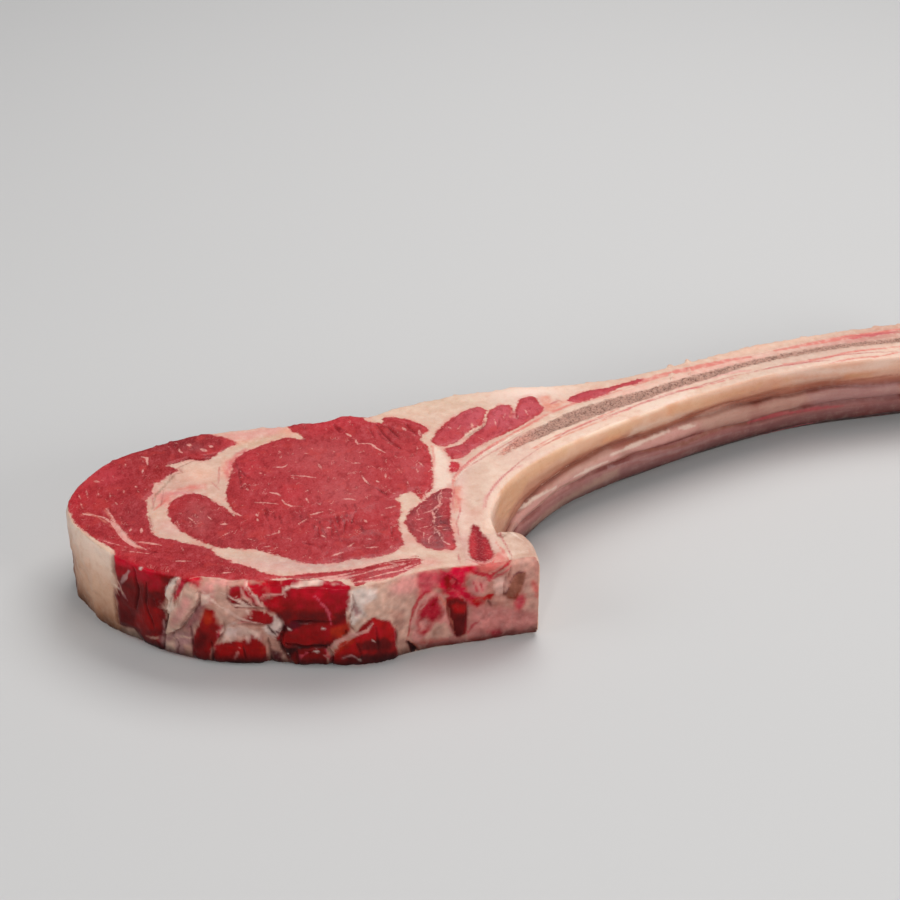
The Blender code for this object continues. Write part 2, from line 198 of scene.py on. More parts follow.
def plan_map(nodes, height):
    """Millimetres inside the nodes, less than 0 outside, on a grid over the whole steak."""
    low = np.array(CAD_BOX[0])[:2] / MM - 2
    high = np.array(CAD_BOX[1])[:2] / MM + 2
    across, along = np.arange(low[0], high[0], GRID_STEP), np.arange(low[1], high[1], GRID_STEP)
    depth = np.full((len(across), len(along)), -FAR)
    for node in nodes:
        whole = tree_of([solids[node]])
        sides = tree_of([solids[node]], lambda face: abs(face.normal.z) < 0.5)
        start, end = (np.array(corner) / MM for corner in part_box(node))
        for row in np.nonzero((across > start[0] - FAR) & (across < end[0] + FAR))[0]:
            for column in np.nonzero((along > start[1] - FAR) & (along < end[1] + FAR))[0]:
                spot = Vector((across[row] * MM, along[column] * MM, height * MM))
                gap = sides.find_nearest(spot, FAR * MM)[3]
                gap = FAR if gap is None else gap / MM
                below = whole.ray_cast(spot, Vector((0, 0, -1)))
                inside = below[0] is not None and below[1].z < 0
                value = gap if inside else -gap
                depth[row, column] = max(depth[row, column], value)
    return low, depth


MAPS = {name: plan_map(*entry) for name, entry in TISSUES.items()}
print("tissue maps:", len(MAPS), "of", MAPS["lean"][1].shape, "points")
print("seconds so far:", round(time.time() - started, 1))

# %% Growing into the neighbours
OVERLAP = 1.3 * MM


def grow_into_neighbours(mesh):
    """Moves each corner so that its walls facing a neighbour go out and its other walls stay."""
    steps = {}
    for corner in mesh.verts:
        around = list(corner.link_faces)
        if any(face in hidden for face in around):
            normals = np.array([face.normal for face in around])
            reach = np.array([OVERLAP if face in hidden else 0.0 for face in around])
            step = np.linalg.pinv(normals, rcond=0.2) @ reach
            steps[corner] = step * min(1, 2 * OVERLAP / max(np.linalg.norm(step), 1e-9))
    for corner, step in steps.items():
        corner.co += Vector(step)


print("each wall goes", round(OVERLAP / MM, 1), "mm into its neighbour")

# %% Even, small faces
def finished(skin, kind, **settings):
    """Applies one modifier to the skin."""
    modifier = skin.modifiers.new(kind.lower(), kind)
    for name, value in settings.items():
        setattr(modifier, name, value)
    bpy.context.view_layer.update()
    before = skin.data
    evaluated = skin.evaluated_get(bpy.context.evaluated_depsgraph_get())
    skin.data = bpy.data.meshes.new_from_object(evaluated)
    skin.modifiers.clear()
    bpy.data.meshes.remove(before)
    skin.data.name = skin.name


SHOWN_DEPTH = 1.8 * MM
BURIED_SHARE = 0.05
SMOOTHING_ROUNDS = 5


def dense_skin(name, node, voxel):
    """A closed skin of small faces over a node's solid, with large faces where it is buried."""
    grow_into_neighbours(solids[node])
    data = bpy.data.meshes.new(name)
    solids[node].to_mesh(data)
    skin = bpy.data.objects.new(name, data)
    bpy.context.scene.collection.objects.link(skin)
    finished(skin, "REMESH", mode="VOXEL", voxel_size=voxel * MM, use_smooth_shade=True)
    mesh = bmesh.new()
    mesh.from_mesh(skin.data)
    for turn in range(SMOOTHING_ROUNDS):
        bmesh.ops.smooth_vert(mesh, verts=mesh.verts, factor=0.5,
                              use_axis_x=True, use_axis_y=True, use_axis_z=True)
    mesh.to_mesh(skin.data)
    mesh.free()
    buried = [corner.index for corner in skin.data.vertices
              if OUTSIDE.find_nearest(corner.co, SHOWN_DEPTH)[0] is None]
    skin.vertex_groups.new(name="buried").add(buried, 1.0, "REPLACE")
    share = len(buried) / len(skin.data.vertices)
    finished(skin, "DECIMATE", ratio=1 - share * (1 - BURIED_SHARE), vertex_group="buried",
             vertex_group_factor=1000.0)
    skin.vertex_groups.clear()
    print(f"{name}: {len(skin.data.polygons)} faces, {share:.0%} of its corners were buried")
    return skin


PIECES = {
    "ribeye": ("eye_muscle", "ribeye_lean", 0.75),
    "rib_cap": ("cap_muscle", "cap_lean", 0.75),
    "dark_muscle_by_the_bone": ("inner_muscle", "dark_lean", 0.75),
    "upper_rib_bundle": ("upper_rib_muscle", "rib_lean", 0.75),
    "lower_rib_bundle": ("lower_rib_muscle", "rib_lean", 0.75),
    "thin_rib_strip": ("strip_muscle", "rib_lean", 0.7),
    "blade_side_muscle": ("blade_muscle", "side_lean", 0.7),
    "lower_side_muscle": ("lower_muscle", "side_lean", 0.7),
    "fat_between_muscles": ("seam_fat", "fat", 0.8),
    "outer_fat_rind": ("outer_fat", "outer_fat", 0.75),
    "long_rib": ("rib_bone", "bone", 0.8),
    "rib_marrow_strip": ("rib_marrow", "marrow", 0.6),
    "spongy_rib_head": ("spongy_core", "red_marrow", 0.6),
    "flesh_under_rib": ("rib_flesh", "rib_flesh", 0.9),
    "sawn_knob": ("knob_bone", "cartilage", 0.7),
    "oval_spine_section": ("spine_bone", "spine_bone", 0.7),
}
skins = {name: dense_skin(name, node, voxel) for name, (node, slot, voxel) in PIECES.items()}
print("seconds so far:", round(time.time() - started, 1))

# %% [markdown]
# ## Where every tissue is
# Colour and relief have to run on over the seams, as on the real cut, where fat feathers into
# lean. So they don't depend on the piece. Each corner of every skin gets the same few numbers
# from its place in the steak: how deep it lies in lean meat, in bone or in marrow, and how far it
# is from a fleck or a crease. The materials turn these distances into crisp or feathered edges.

# %% Curves and areas in a plane
def along_curve(points, step):
    """Points at even steps on a smooth curve through the given ones."""
    points = np.array(points, float)
    padded = np.vstack([2 * points[0] - points[1], points, 2 * points[-1] - points[-2]])
    share = np.linspace(0, 1, 12, endpoint=False)[:, None]
    runs = []
    for before, start, end, after in zip(padded, padded[1:], padded[2:], padded[3:]):
        runs.append(start + 0.5 * share * ((end - before) + share * (
            (2 * before - 5 * start + 4 * end - after)
            + share * (3 * start - before - 3 * end + after))))
    dense = np.vstack([*runs, points[-1:]])
    length = np.concatenate([[0], np.cumsum(np.linalg.norm(np.diff(dense, axis=0), axis=1))])
    spots = np.arange(0, length[-1], step)
    return np.column_stack([np.interp(spots, length, dense[:, axis]) for axis in (0, 1)]), spots


def distance_to_line(points, line):
    """How far each point is from a chain of straight runs, and where on it, from 0 to 1."""
    line = np.array(line, float)
    nearest, where = np.full(len(points), 1e9), np.zeros(len(points))
    for number, (start, end) in enumerate(zip(line, line[1:])):
        run = end - start
        share = np.clip((points - start) @ run / max(run @ run, 1e-9), 0, 1)
        gap = np.linalg.norm(points - start - share[:, None] * run, axis=1)
        where = np.where(gap < nearest, (number + share) / (len(line) - 1), where)
        nearest = np.minimum(nearest, gap)
    return nearest, where


def depth_in_area(points, outline):
    """Millimetres inside a closed outline, less than 0 outside."""
    outline = np.array(outline, float)
    gap, where = distance_to_line(points, np.vstack([outline, outline[:1]]))
    inside = np.zeros(len(points), bool)
    for start, end in zip(outline, np.roll(outline, -1, axis=0)):
        crosses = (start[1] > points[:, 1]) != (end[1] > points[:, 1])
        rise = end[1] - start[1]
        reach = start[0] + (points[:, 1] - start[1]) * (end[0] - start[0]) / (rise if rise else 1)
        inside ^= crosses & (points[:, 0] < reach)
    return np.where(inside, gap, -gap)


def strokes(points, lines, reach=4.0):
    """Millimetres inside the widest of many tapered strokes, each a width and its points."""
    depth = np.full(len(points), -reach)
    for width, *line in lines:
        corners = np.array(line, float)
        near = np.all((points > corners.min(0) - reach) & (points < corners.max(0) + reach), axis=1)
        if near.any():
            gap, where = distance_to_line(points[near], corners)
            taper = width / 2 * (0.35 + 0.65 * np.sin(np.pi * np.clip(where, 0.04, 0.96)))
            depth[near] = np.maximum(depth[near], taper - gap)
    return depth


def areas(points, outlines, reach=9.0):
    """Millimetres inside the union of several outlines."""
    depth = np.full(len(points), -reach)
    for outline in outlines:
        depth = np.maximum(depth, depth_in_area(points, outline))
    return depth


def smoothstep(low, high, value):
    share = np.clip((value - low) / (high - low), 0, 1)
    return share * share * (3 - 2 * share)


# How far beyond its corners a drawn area or line can still colour something, in millimetres
RIM = 3


def painted(points, colours, patches, lines, ragged, strength=1.0):
    """Turns the colours to those of drawn areas and then of drawn lines, with ragged rims."""
    drawn = [(True, *patch) for patch in patches] + [(False, *line) for line in lines]
    for is_area, hue, size, *outline in drawn:
        corners = np.array(outline, float)
        near = np.all((points > corners.min(0) - RIM) & (points < corners.max(0) + RIM), axis=1)
        if not near.any():
            continue
        if is_area:
            depth, soft = depth_in_area(points[near], corners) + ragged[near], 1.4 * size
        else:
            gap, where = distance_to_line(points[near], corners)
            taper = size / 2 * (0.4 + 0.6 * np.sin(np.pi * np.clip(where, 0.06, 0.94)))
            depth, soft = taper - gap + 0.5 * ragged[near], 0.4
        colours[near] = tint(colours[near], strength * smoothstep(-soft, soft, depth), HUES[hue])


def read_map(name, plan):
    """The plan map's value at points in the drawing's millimetres, between its grid points."""
    low, depth = MAPS[name]
    spot = (plan[:, :2] - PLAN_SHIFT[:2] - low) / GRID_STEP
    cell = np.clip(np.floor(spot).astype(int), 0, np.array(depth.shape) - 2)
    part = np.clip(spot - cell, 0, 1)
    value = 0
    for right, up in itertools.product((0, 1), repeat=2):
        weight = part[:, 0] if right else 1 - part[:, 0]
        weight = weight * (part[:, 1] if up else 1 - part[:, 1])
        value = value + weight * depth[cell[:, 0] + right, cell[:, 1] + up]
    return value


print("a step half way up:", smoothstep(0, 1, 0.5))

# %% Unevenness that is the same each time
LATTICE = np.random.default_rng(11).random((32, 32, 32))


def unevenness(points, size, seed=0):
    """Smooth random swells from -1 to 1, about as wide as the size in millimetres."""
    spot = points / size + seed * 7.3
    cell = np.floor(spot).astype(int)
    part = spot - cell
    part = part * part * (3 - 2 * part)
    value = 0
    for corner in itertools.product((0, 1), repeat=3):
        weight = np.prod(np.where(corner, part, 1 - part), axis=1)
        value = value + weight * LATTICE[tuple(((cell + corner) % 32).T)]
    return 2 * value - 1


print("an uneven sample:", unevenness(np.arange(12.0).reshape(4, 3), 2.0).round(2))

# %% [markdown]
# ## What the cut face shows
# The marbling of a ribeye is a net of thin fat threads that the knife cuts across, so it shows as
# short flecks. Strands of connective tissue run through the cap muscle in long, thin lines. They
# are drawn as strokes, in millimetres seen from above, because their places give this
# steak its face. A pattern of random flecks in the material adds the finer ones.

# %% Flecks and strands on the lean, as a width and points
FLECKS = (
    (1.0, (-5, 17.5), (0, 17), (6, 15.6)), (0.9, (-21, -3), (-14, -3.8), (-9, -4.8)),
    (0.9, (-8, -1), (-6, -5), (-3, -6.8), (2, -7)), (1.0, (-13.5, 4.2), (-10, 3), (-8, 1)),
    (1.1, (24, 44), (29, 44), (32, 40.5), (36, 36.6)), (0.9, (26, 18), (28, 13), (30, 10)),
    (0.9, (17, -1), (22, -1), (25, -2.6)), (1.2, (5, -13.4), (10.5, -11)),
    (0.9, (-14, 24.6), (-9, 24), (-7.2, 26.4)), (1.1, (6.4, 27), (8.2, 22.8)),
    (0.8, (21, 27.6), (25.4, 27.4)), (0.8, (0, -20.6), (4.4, -16.2)),
    (0.8, (-7, -22.4), (-7.4, -26), (-13, -28)), (1.0, (12.6, -23), (14.8, -21.8)),
    (1.0, (10.6, -28), (12.8, -29.6)), (0.7, (30, -30), (32, -30.5)),
    (0.9, (30, -36.6), (35.4, -36)), (0.8, (25, -33.4), (22, -37)),
    (1.1, (15.6, -42.8), (20.6, -40)), (1.0, (37.6, -8.2), (42.4, -6)),
    (0.9, (-13, -36), (-10, -35.2)), (1.5, (-32.4, -19.4), (-29.6, -19)),
    (0.8, (51, 29), (53.2, 26)), (0.7, (50.4, 24), (51, 20)), (1.0, (22, 48), (23.6, 43)),
    (1.5, (17.6, 53.4), (20.4, 50.6)), (1.7, (43.4, 58.6), (45, 56)), (1.2, (51, 57), (51.6, 51)),
    (0.7, (55, 6.6), (53, 1)), (1.2, (32.6, 13.2), (34, 12)), (0.9, (40, 34.6), (41.2, 33)),
    (1.3, (-18, -12), (-17, -14)), (0.9, (-17.4, -15.6), (-16.6, -18)),
    (0.9, (2.6, 0), (4.2, -4.4)), (0.7, (1.8, 4), (3.6, 6.2)), (1.3, (28.6, -16.6), (29.6, -18.4)),
    (1.0, (-24, 8), (-23, 6)), (1.1, (-25.4, 11.6), (-24.6, 10.8)),
    (0.8, (-19, 20), (-17.8, 19.4)), (0.7, (-28, -25), (-32, -29)),
    (0.7, (-39, -12.8), (-36.6, -16)), (1.3, (-32, -5), (-28, -10.4), (-24, -13.6)),
    (0.8, (36.6, 19.4), (36.8, 15.6)), (0.6, (46, 14), (47, 11)), (0.6, (42, 24), (44, 20)),
    (0.6, (-47, -14), (-43, -19)), (0.6, (-20, -30), (-17, -31.4)), (0.5, (-1, 36), (2, 35.2)),
    (0.5, (12, 38), (14, 36)), (0.6, (-12, 38), (-10.4, 36.6)), (0.6, (39, 4), (42, 2.8)),
    (1.5, (-93, -11.4), (-88, -13)), (1.4, (-88, -12.6), (-83, -15), (-78, -19.6), (-74, -24)),
    (3.0, (-80, -17.4), (-76, -23), (-72, -30), (-67, -35.4)), (1.4, (-69, -33), (-62, -37.4)),
    (1.2, (-83, -8.6), (-80, -13.6), (-77.6, -18.6), (-75, -22)),
    (1.4, (-66.4, -31.6), (-56, -34.2)), (0.9, (-101, -8), (-94, -19), (-87, -28)),
    (0.8, (-86, -29), (-78, -33), (-68, -36.8)), (1.6, (-73.6, 34), (-70.8, 33), (-69.6, 27)),
    (1.0, (-71.4, 24), (-71, 19.6)), (1.2, (-57.6, 42), (-56.6, 38.6), (-55, 37)),
    (2.0, (-91.6, 13.8), (-89, 12.6)), (1.8, (-72.8, 9.6), (-72.2, 8.8)),
    (1.2, (-77.4, 6), (-77, 4)), (0.9, (-94.4, 8), (-92, 0)), (0.9, (-88.4, 5), (-87.6, 1.6)),
    (1.1, (-80, -3), (-78.6, -5)), (1.0, (-83, 4), (-82.4, 0)), (1.2, (-83, -8), (-81.6, -10.4)),
    (1.5, (-66, -22), (-65.6, -26)), (0.9, (-70, -21), (-71, -26)),
    (2.4, (-54, 44.6), (-52, 43.6)), (2.2, (-47.6, 41), (-44.6, 39)),
    (1.6, (-44, 43.6), (-42, 42)), (0.8, (-72, -38), (-58, -41)), (0.7, (-48, -35), (-46, -39)),
    (0.7, (-84, 18), (-83, 16)), (0.8, (-95, -3), (-93, -8)), (0.9, (-30, -55), (-24, -54)),
    (0.8, (-50, -46), (-42, -46.6)), (0.8, (-97, 4), (-95, -1)), (0.8, (-80, 28), (-79, 26)),
    (0.7, (-60, 46), (-58, 45)),
    (1.3, (62, 7.4), (60, 2), (61, -4), (57.4, -9), (58.6, -14), (57, -20)),
    (1.1, (57, -20), (60, -24), (62, -31)), (0.8, (53.6, -3), (51, -9), (52, -14)),
    (0.9, (57.4, -9), (53, -11.4)), (0.9, (58.6, -14), (64, -12.4)), (0.9, (57, -20), (52, -22.4)),
    (0.8, (60, -24), (66, -22)), (0.8, (60, -24), (56, -30), (56.6, -34)),
    (0.7, (62, -31), (66, -34)), (0.8, (60, 2), (65, 0.6)), (0.7, (52.6, -0.6), (58, -2)),
    (0.7, (54, -26), (57, -27.4)), (0.9, (64, 60), (66, 57)), (0.7, (70, 60), (68.4, 56)),
    (0.9, (75.4, 62), (75.4, 58.4)), (0.7, (85.6, 66), (86.4, 60.6)), (0.8, (90, 67), (91, 72)),
    (0.8, (96, 66), (97, 70)), (0.6, (100, 76), (101.4, 70)), (0.7, (78, 50), (81, 47.6)),
    (0.7, (67, 40), (69.6, 38)),
)
# Layered strands of the thin muscle along the front edge
FRONT_STRANDS = (
    (1.5, (2, -61), (12, -59.2), (22, -57.2), (30, -54.6)),
    (1.3, (10, -58), (20, -56), (26, -53.6)), (1.1, (25, -60.8), (33, -59.4), (41, -57.2)),
    (1.0, (29, -55), (36, -51.4), (46, -47)), (1.0, (32, -57.6), (40, -54), (50, -50.6)),
    (0.9, (36, -48.6), (44, -45.6), (52, -44)), (0.9, (35, -52.6), (42, -50), (49, -46.4)),
    (1.1, (-4, -60.6), (6, -61.8), (16, -61.4), (26, -62)), (0.8, (44, -52.4), (52, -47)),
    (1.0, (14, -57.4), (25, -58.8)), (0.8, (40, -47.4), (47, -48.8)),
)
print("flecks and strands:", len(FLECKS) + len(FRONT_STRANDS))

# %% Grooves between bundles of fibres
CREASES = (
    (1.0, (31, 62), (35, 53), (40.6, 42)), (0.9, (36, 60), (42, 50)), (1.0, (11.6, 61), (15, 54)),
    (0.9, (33, 7.6), (38, 2)), (0.7, (16, -13), (18.4, -22)), (0.6, (20.4, -18), (20, -26)),
    (0.6, (14, -18), (15.4, -27)), (0.6, (-15, -9), (-12.6, -17)), (0.6, (9, -22), (9.6, -29)),
    (0.8, (-29, 24), (-26, 8)), (0.7, (-27, 20), (-24, 16)), (0.6, (24, -12), (23, -20)),
    (0.7, (40, -20), (41, -30)), (0.8, (44.6, 62), (50, 52)), (0.6, (53, 44), (54.6, 38)),
    (0.8, (-46, 35), (-40, 37)), (0.9, (-60, 28.6), (-52, 33.6), (-46, 31.4)),
    (1.0, (-55.6, 25), (-53.6, 21.6)), (0.7, (-62, -37.4), (-57, -39.4)),
    (1.2, (81.4, 66), (80.6, 60), (76, 55.6), (71, 49)), (0.8, (96, 72), (96.6, 66)),
    (0.7, (88, 66), (87, 58)), (0.8, (86.6, -22), (87.6, -28)), (0.9, (-64, -12), (-61.6, -23)),
    (0.7, (-59, 16), (-58, 24), (-50, 31.6), (-42, 33.4)), (0.7, (-60, -4), (-60.4, 8)),
    (0.8, (38, 48), (43, 40)), (0.6, (28, 58), (31, 50)), (0.6, (3, -33), (8, -35)),
)
# Thin red lines in bone and fat: the skin of the rib, vessels and stains
RED_LINES = (
    (0.8, (80.6, -6), (81.4, 2), (84.4, 11), (90, 20.4), (97, 31), (105, 41)),
    (0.9, (104, 40), (113, 49.4), (120, 57), (130, 64.4), (140, 70.6), (150, 78)),
    (0.9, (148, 77), (165, 86.6), (182, 96), (200, 106), (214, 112)),
    (1.4, (212, 111.6), (226, 117), (240, 120.6), (250, 122.6)),
    (0.9, (240, 123), (262, 129.6), (285, 133)),
    (0.9, (66.6, 17), (69.6, 24), (73, 29.6), (80, 38.4), (87, 45.6)),
    (0.8, (68, 21), (73, 26), (82, 36), (90, 44), (98, 52.6), (106, 60)),
    (1.2, (66, 30.4), (69, 28), (68, 22.6), (65.6, 21.6)), (2.4, (66.6, 29), (68.2, 25)),
    (0.8, (84.4, -19), (88, -31), (91.4, -43)), (1.0, (72, -44), (78, -47), (90, -44)),
    (1.6, (262, 147), (276, 150), (292, 153.4)), (1.4, (240, 131), (262, 139.4)),
    (0.9, (118, 82), (115, 84.6)), (1.4, (112, 80), (116.6, 83.6)),
    (0.7, (70, -6), (68, -18), (69.4, -30)), (0.8, (67, 8), (66.4, 0), (67, -10)),
    (1.0, (150, 100), (158, 103.6)), (0.8, (68.6, -40), (69.4, -47)),
    (0.8, (87, -21), (87.6, -27.4)), (0.6, (-40, 14), (-36, 8)), (0.7, (-37.6, 26), (-36.6, 12)),
    (0.7, (-64.6, 3), (-62.4, -8)),
)
print("creases:", len(CREASES), "red lines:", len(RED_LINES))

# %% [markdown]
# ## What the front side shows
# The front side isn't cut: it is where the backbone was sawn off and the blade pulled away. It
# shows dark wet muscle, flaps of silver skin, lumps of fat and the section of the oval spine
# bone. These are drawn as areas and strokes on the unrolled side, in millimetres along it from
# the round tip and up from the board.

# %% The side's own measure
FRONT_FOOT = (
    (-101, -2), (-99, -14), (-95, -22), (-88, -31), (-82, -37), (-76, -42), (-70, -45), (-62, -50),
    (-52, -55.5), (-42, -59.5), (-32, -61.5), (-20, -62.5), (-8, -62.5), (5, -63), (15, -63),
    (24, -63.5), (32, -62.5), (40, -60), (50, -56), (60, -52.5), (70, -50), (80, -47.5), (90, -45),
    (103, -41.6),
)
FRONT_CURVE, FRONT_LENGTH = along_curve(FRONT_FOOT, 0.5)
FRONT_RADII = (
    (0, 44, 50, 90, 100, 118, 125, 150, 165, 200, 212, 222, 236),
    (1.2, 1.2, 2, 2.5, 3, 3, 1.6, 1.6, 3, 2.5, 3.5, 6, 7),
)
KNOB_RIM = ((103, -41.5), (102.3, -34), (100.5, -27.5), (96.5, -21.5), (90.5, -19), (85, -20.5))
KNOB_CURVE, KNOB_LENGTH = along_curve(KNOB_RIM, 0.5)
RIM_REACH = 7.0
TOP = 42.2
print("the front side is", round(FRONT_LENGTH[-1]), "mm long")

# %% Lean areas of the front side
SIDE_LEAN = (
    ((49, 50), (48, 35.5), (51, 27.5), (47, 23.5), (48, 18.5), (48, 12), (47.5, 5.5),
     (52.5, 6.5), (57, 6.5), (60, 3), (62, -4), (71, -4), (73, 4), (72, 8.5), (74, 14.5),
     (75, 21), (72, 24), (71, 27), (75, 28.5), (76, 34), (80, 40), (83, 50)),
    ((82.5, 50), (82, 40), (79.6, 33.5), (80.4, 31), (84, 37.5), (86.5, 41), (88, 50)),
    ((93, 28), (96.5, 28), (98.5, 25), (100.5, 20.5), (99.5, 15), (94.5, 8), (93, -3), (86, -3),
     (86.5, 11.5), (89.5, 17.5), (91.5, 23)),
    ((95, -3), (95, 7.5), (99.5, 11.5), (104, 12.5), (107, 13), (110, 15), (113.5, 18),
     (116, 17), (118, 12), (118.6, -3)),
    ((108, 29.5), (115.5, 29.5), (119, 29), (122.4, 25.5), (122, 22), (115.5, 22), (109.5, 22),
     (107, 24)),
    ((104, 40.5), (108, 41.5), (109, 36), (107.5, 33.5), (103.5, 33.5), (103, 38)),
    ((110, 41), (113.5, 42), (117, 42.5), (116.5, 36), (114, 36), (111, 35.5)),
    ((118, 50), (119, 42), (127, 38.5), (122.5, 36), (118.5, 34), (119.5, 32), (122, 29),
     (124, 25.5), (126.5, 22.5), (125.5, 19.5), (122, 15), (125, 8.5), (127, 3.5), (130.5, -3),
     (144, -3), (145, 5), (143.6, 10), (145.5, 13), (150, 17.5), (153.5, 20), (152, 24),
     (152, 27.5), (154, 32), (154, 37), (154.5, 50)),
    ((144.8, -3), (145, 5.5), (148, 10.5), (154, 15.5), (159, 18.5), (162, 20), (158.5, 22),
     (162.5, 26), (164, 24.5), (170.5, 21.5), (173, 15.5), (172, 8.5), (174.5, 3.5), (175, -3)),
    ((156.5, 20), (156.5, 22.5), (159.5, 22.5), (162.5, 24.5), (160, 20), (158, 18.5)),
    ((177.5, 8.5), (179.5, 8), (181, 4.5), (184, -3), (181.5, -2), (178.5, 4.5)),
    ((195, 26), (198, 26.4), (203, 24.5), (205, 18.5), (205, 13.5), (204, 7), (199.5, 5.5),
     (198, 9), (196, 16)),
)
# Silver skin that stands out: the long flap, a fold and a tuft
SIDE_FLAPS = (
    ((85.5, 39.5), (88.5, 40.5), (91, 39), (91, 32.5), (85.5, 22), (81, 16), (75.5, 11.5),
     (74, 12), (77.5, 23.5), (83, 33)),
    ((82.5, 42.5), (79, 40), (76.5, 36), (75.5, 32), (77, 30.5), (76, 26), (77.5, 24),
     (80, 27.5), (80, 33.5), (83, 41.5)),
    ((71, 28), (72, 28.5), (74.5, 27.5), (78, 23.5), (77, 23), (75.5, 24.5), (73, 24), (71, 26)),
)
# Porous bone: the middle of the oval section and the brown one beside the knob
SIDE_SPONGY = (
    ((183, 19), (186, 24), (189.5, 26.4), (192.5, 24), (194.5, 19.5), (192.5, 15.5),
     (189.5, 14.5), (188.5, 10), (185.5, 7), (183, 11)),
    ((223.5, 32.5), (226.5, 35.2), (230, 35.4), (229.5, 31.5), (227, 22), (223.5, 20.8),
     (221, 23.5)),
)
SIDE_CREASES = (
    (1.4, (48.4, 42), (47.4, 35), (49.6, 30)), (1.2, (47, 24), (47.4, 14), (48, 6)),
    (1.0, (82, 42), (79.8, 34), (77.6, 27)),
    (2.0, (92, 37), (90.6, 31), (87.5, 26.4), (82, 16.5), (77, 11.6)),
    (1.4, (76, 24), (75.4, 17), (73.4, 10), (72.4, 3)), (1.2, (86.4, 18), (86.6, 11), (86, 3)),
    (1.0, (100.6, 24), (101, 18), (97, 10)), (1.0, (95, 12), (95, 0)), (1.2, (119, 14), (120, 0)),
    (1.6, (123.6, 27), (126, 21), (124, 12), (126, 5)),
    (2.2, (126.6, 12.4), (134, 11.4), (144, 11.6)), (1.6, (129, 24), (137, 24.6), (148, 25)),
    (1.8, (144, 12), (145.4, 6), (144.8, 0)), (1.6, (131, 9), (131.6, 2)),
    (1.4, (155, 38), (155.6, 33), (153, 26)), (1.2, (153.6, 22), (155, 20)),
    (1.8, (177.8, 8.4), (180.4, 4.6), (183.6, -1)), (1.0, (195.4, 25), (196.6, 16), (198.4, 8)),
    (1.6, (213.4, 21.4), (215, 18.6)), (0.9, (223, 38), (222.4, 33)), (0.9, (221, 33), (220, 22)),
    (1.0, (173.4, 18), (173, 7)), (0.8, (103.4, 43), (103, 35), (105, 31)),
    (1.0, (60, 40), (62, 30), (60, 20)), (0.9, (67, 36), (66, 24), (69, 12)),
    (1.2, (107, 21.6), (114, 21.4), (121, 21.6)), (1.2, (107, 30), (114, 30.4), (120, 30)),
    (0.8, (108, 12), (109, 4)), (0.8, (156, 13), (158, 5)), (0.8, (164, 20), (165, 8)),
    (1.0, (192.4, 41.4), (198, 43), (203.4, 42.6)), (0.9, (196, 38), (200, 34), (199, 30)),
)
print("areas on the side:", len(SIDE_LEAN) + len(SIDE_FLAPS) + len(SIDE_SPONGY))

# %% [markdown]
# ## Colours of the tissues
# Soft changes of colour, such as the bright rim of fresh meat or a blush in the fat, are painted
# on the corners of the skins: a base colour for lean, one for fat and bone, and one for spongy
# bone. The colours are written as a screen shows them and turned into light values.

# %% From screen colours to light
def shade(red, green, blue):
    value = np.array((red, green, blue)) / 255
    return np.where(value <= 0.04045, value / 12.92, ((value + 0.055) / 1.055) ** 2.4)


def tint(base, mask, colour):
    """Turns the base colours towards another one as far as the mask says."""
    return base + (colour - base) * np.clip(mask, 0, 1)[:, None]


def spot(points, x, y, width, height, turn=0):
    """A soft oval from 1 in its middle to 0 at its rim."""
    turn = math.radians(turn)
    away = points[:, :2] - (x, y)
    across = (away[:, 0] * math.cos(turn) + away[:, 1] * math.sin(turn)) / width
    upward = (away[:, 1] * math.cos(turn) - away[:, 0] * math.sin(turn)) / height
    return smoothstep(1, 0, np.hypot(across, upward))


LEAN = shade(178, 44, 48)
FAT = shade(212, 176, 156)
BONE = shade(228, 194, 174)
# A wet film adds its own shine, so what lies under it is painted darker and more even
WET_GAIN = 1.04
WET_VEIL = np.array((0.006, 0.014, 0.013))
print("lean meat in light values:", LEAN.round(3))

# %% Blushes of the cut face, as colour, place, size and turn
LEAN_BLUSHES = (
    ((192, 46, 58), 10, 66, 26, 9, 0), ((186, 50, 58), -97, 4, 9, 26, -12),
    ((188, 48, 56), -88, 30, 8, 20, -45), ((190, 44, 52), -72, -43, 18, 5, -32),
    ((190, 48, 54), -20, -57, 34, 5, 0), ((182, 72, 74), 10, 32, 30, 24, 0),
    ((150, 38, 46), -28, 28, 6, 14, 0), ((184, 76, 78), 20, 4, 22, 20, 0),
    ((150, 40, 44), 40, 54, 12, 12, 0), ((186, 66, 70), 48, 24, 10, 20, 0),
    ((156, 48, 52), -44, -14, 14, 12, 0), ((176, 78, 80), -50, 42, 10, 6, -20),
    ((158, 40, 46), -40, 46, 10, 5, -30), ((150, 36, 42), 2, -14, 10, 8, 0),
    ((188, 52, 58), 42, -28, 6, 16, 0), ((188, 62, 66), 34, 52, 5, 10, 20),
    ((196, 60, 70), -86, 18, 14, 12, 0), ((160, 44, 50), -70, -10, 10, 20, 0),
)
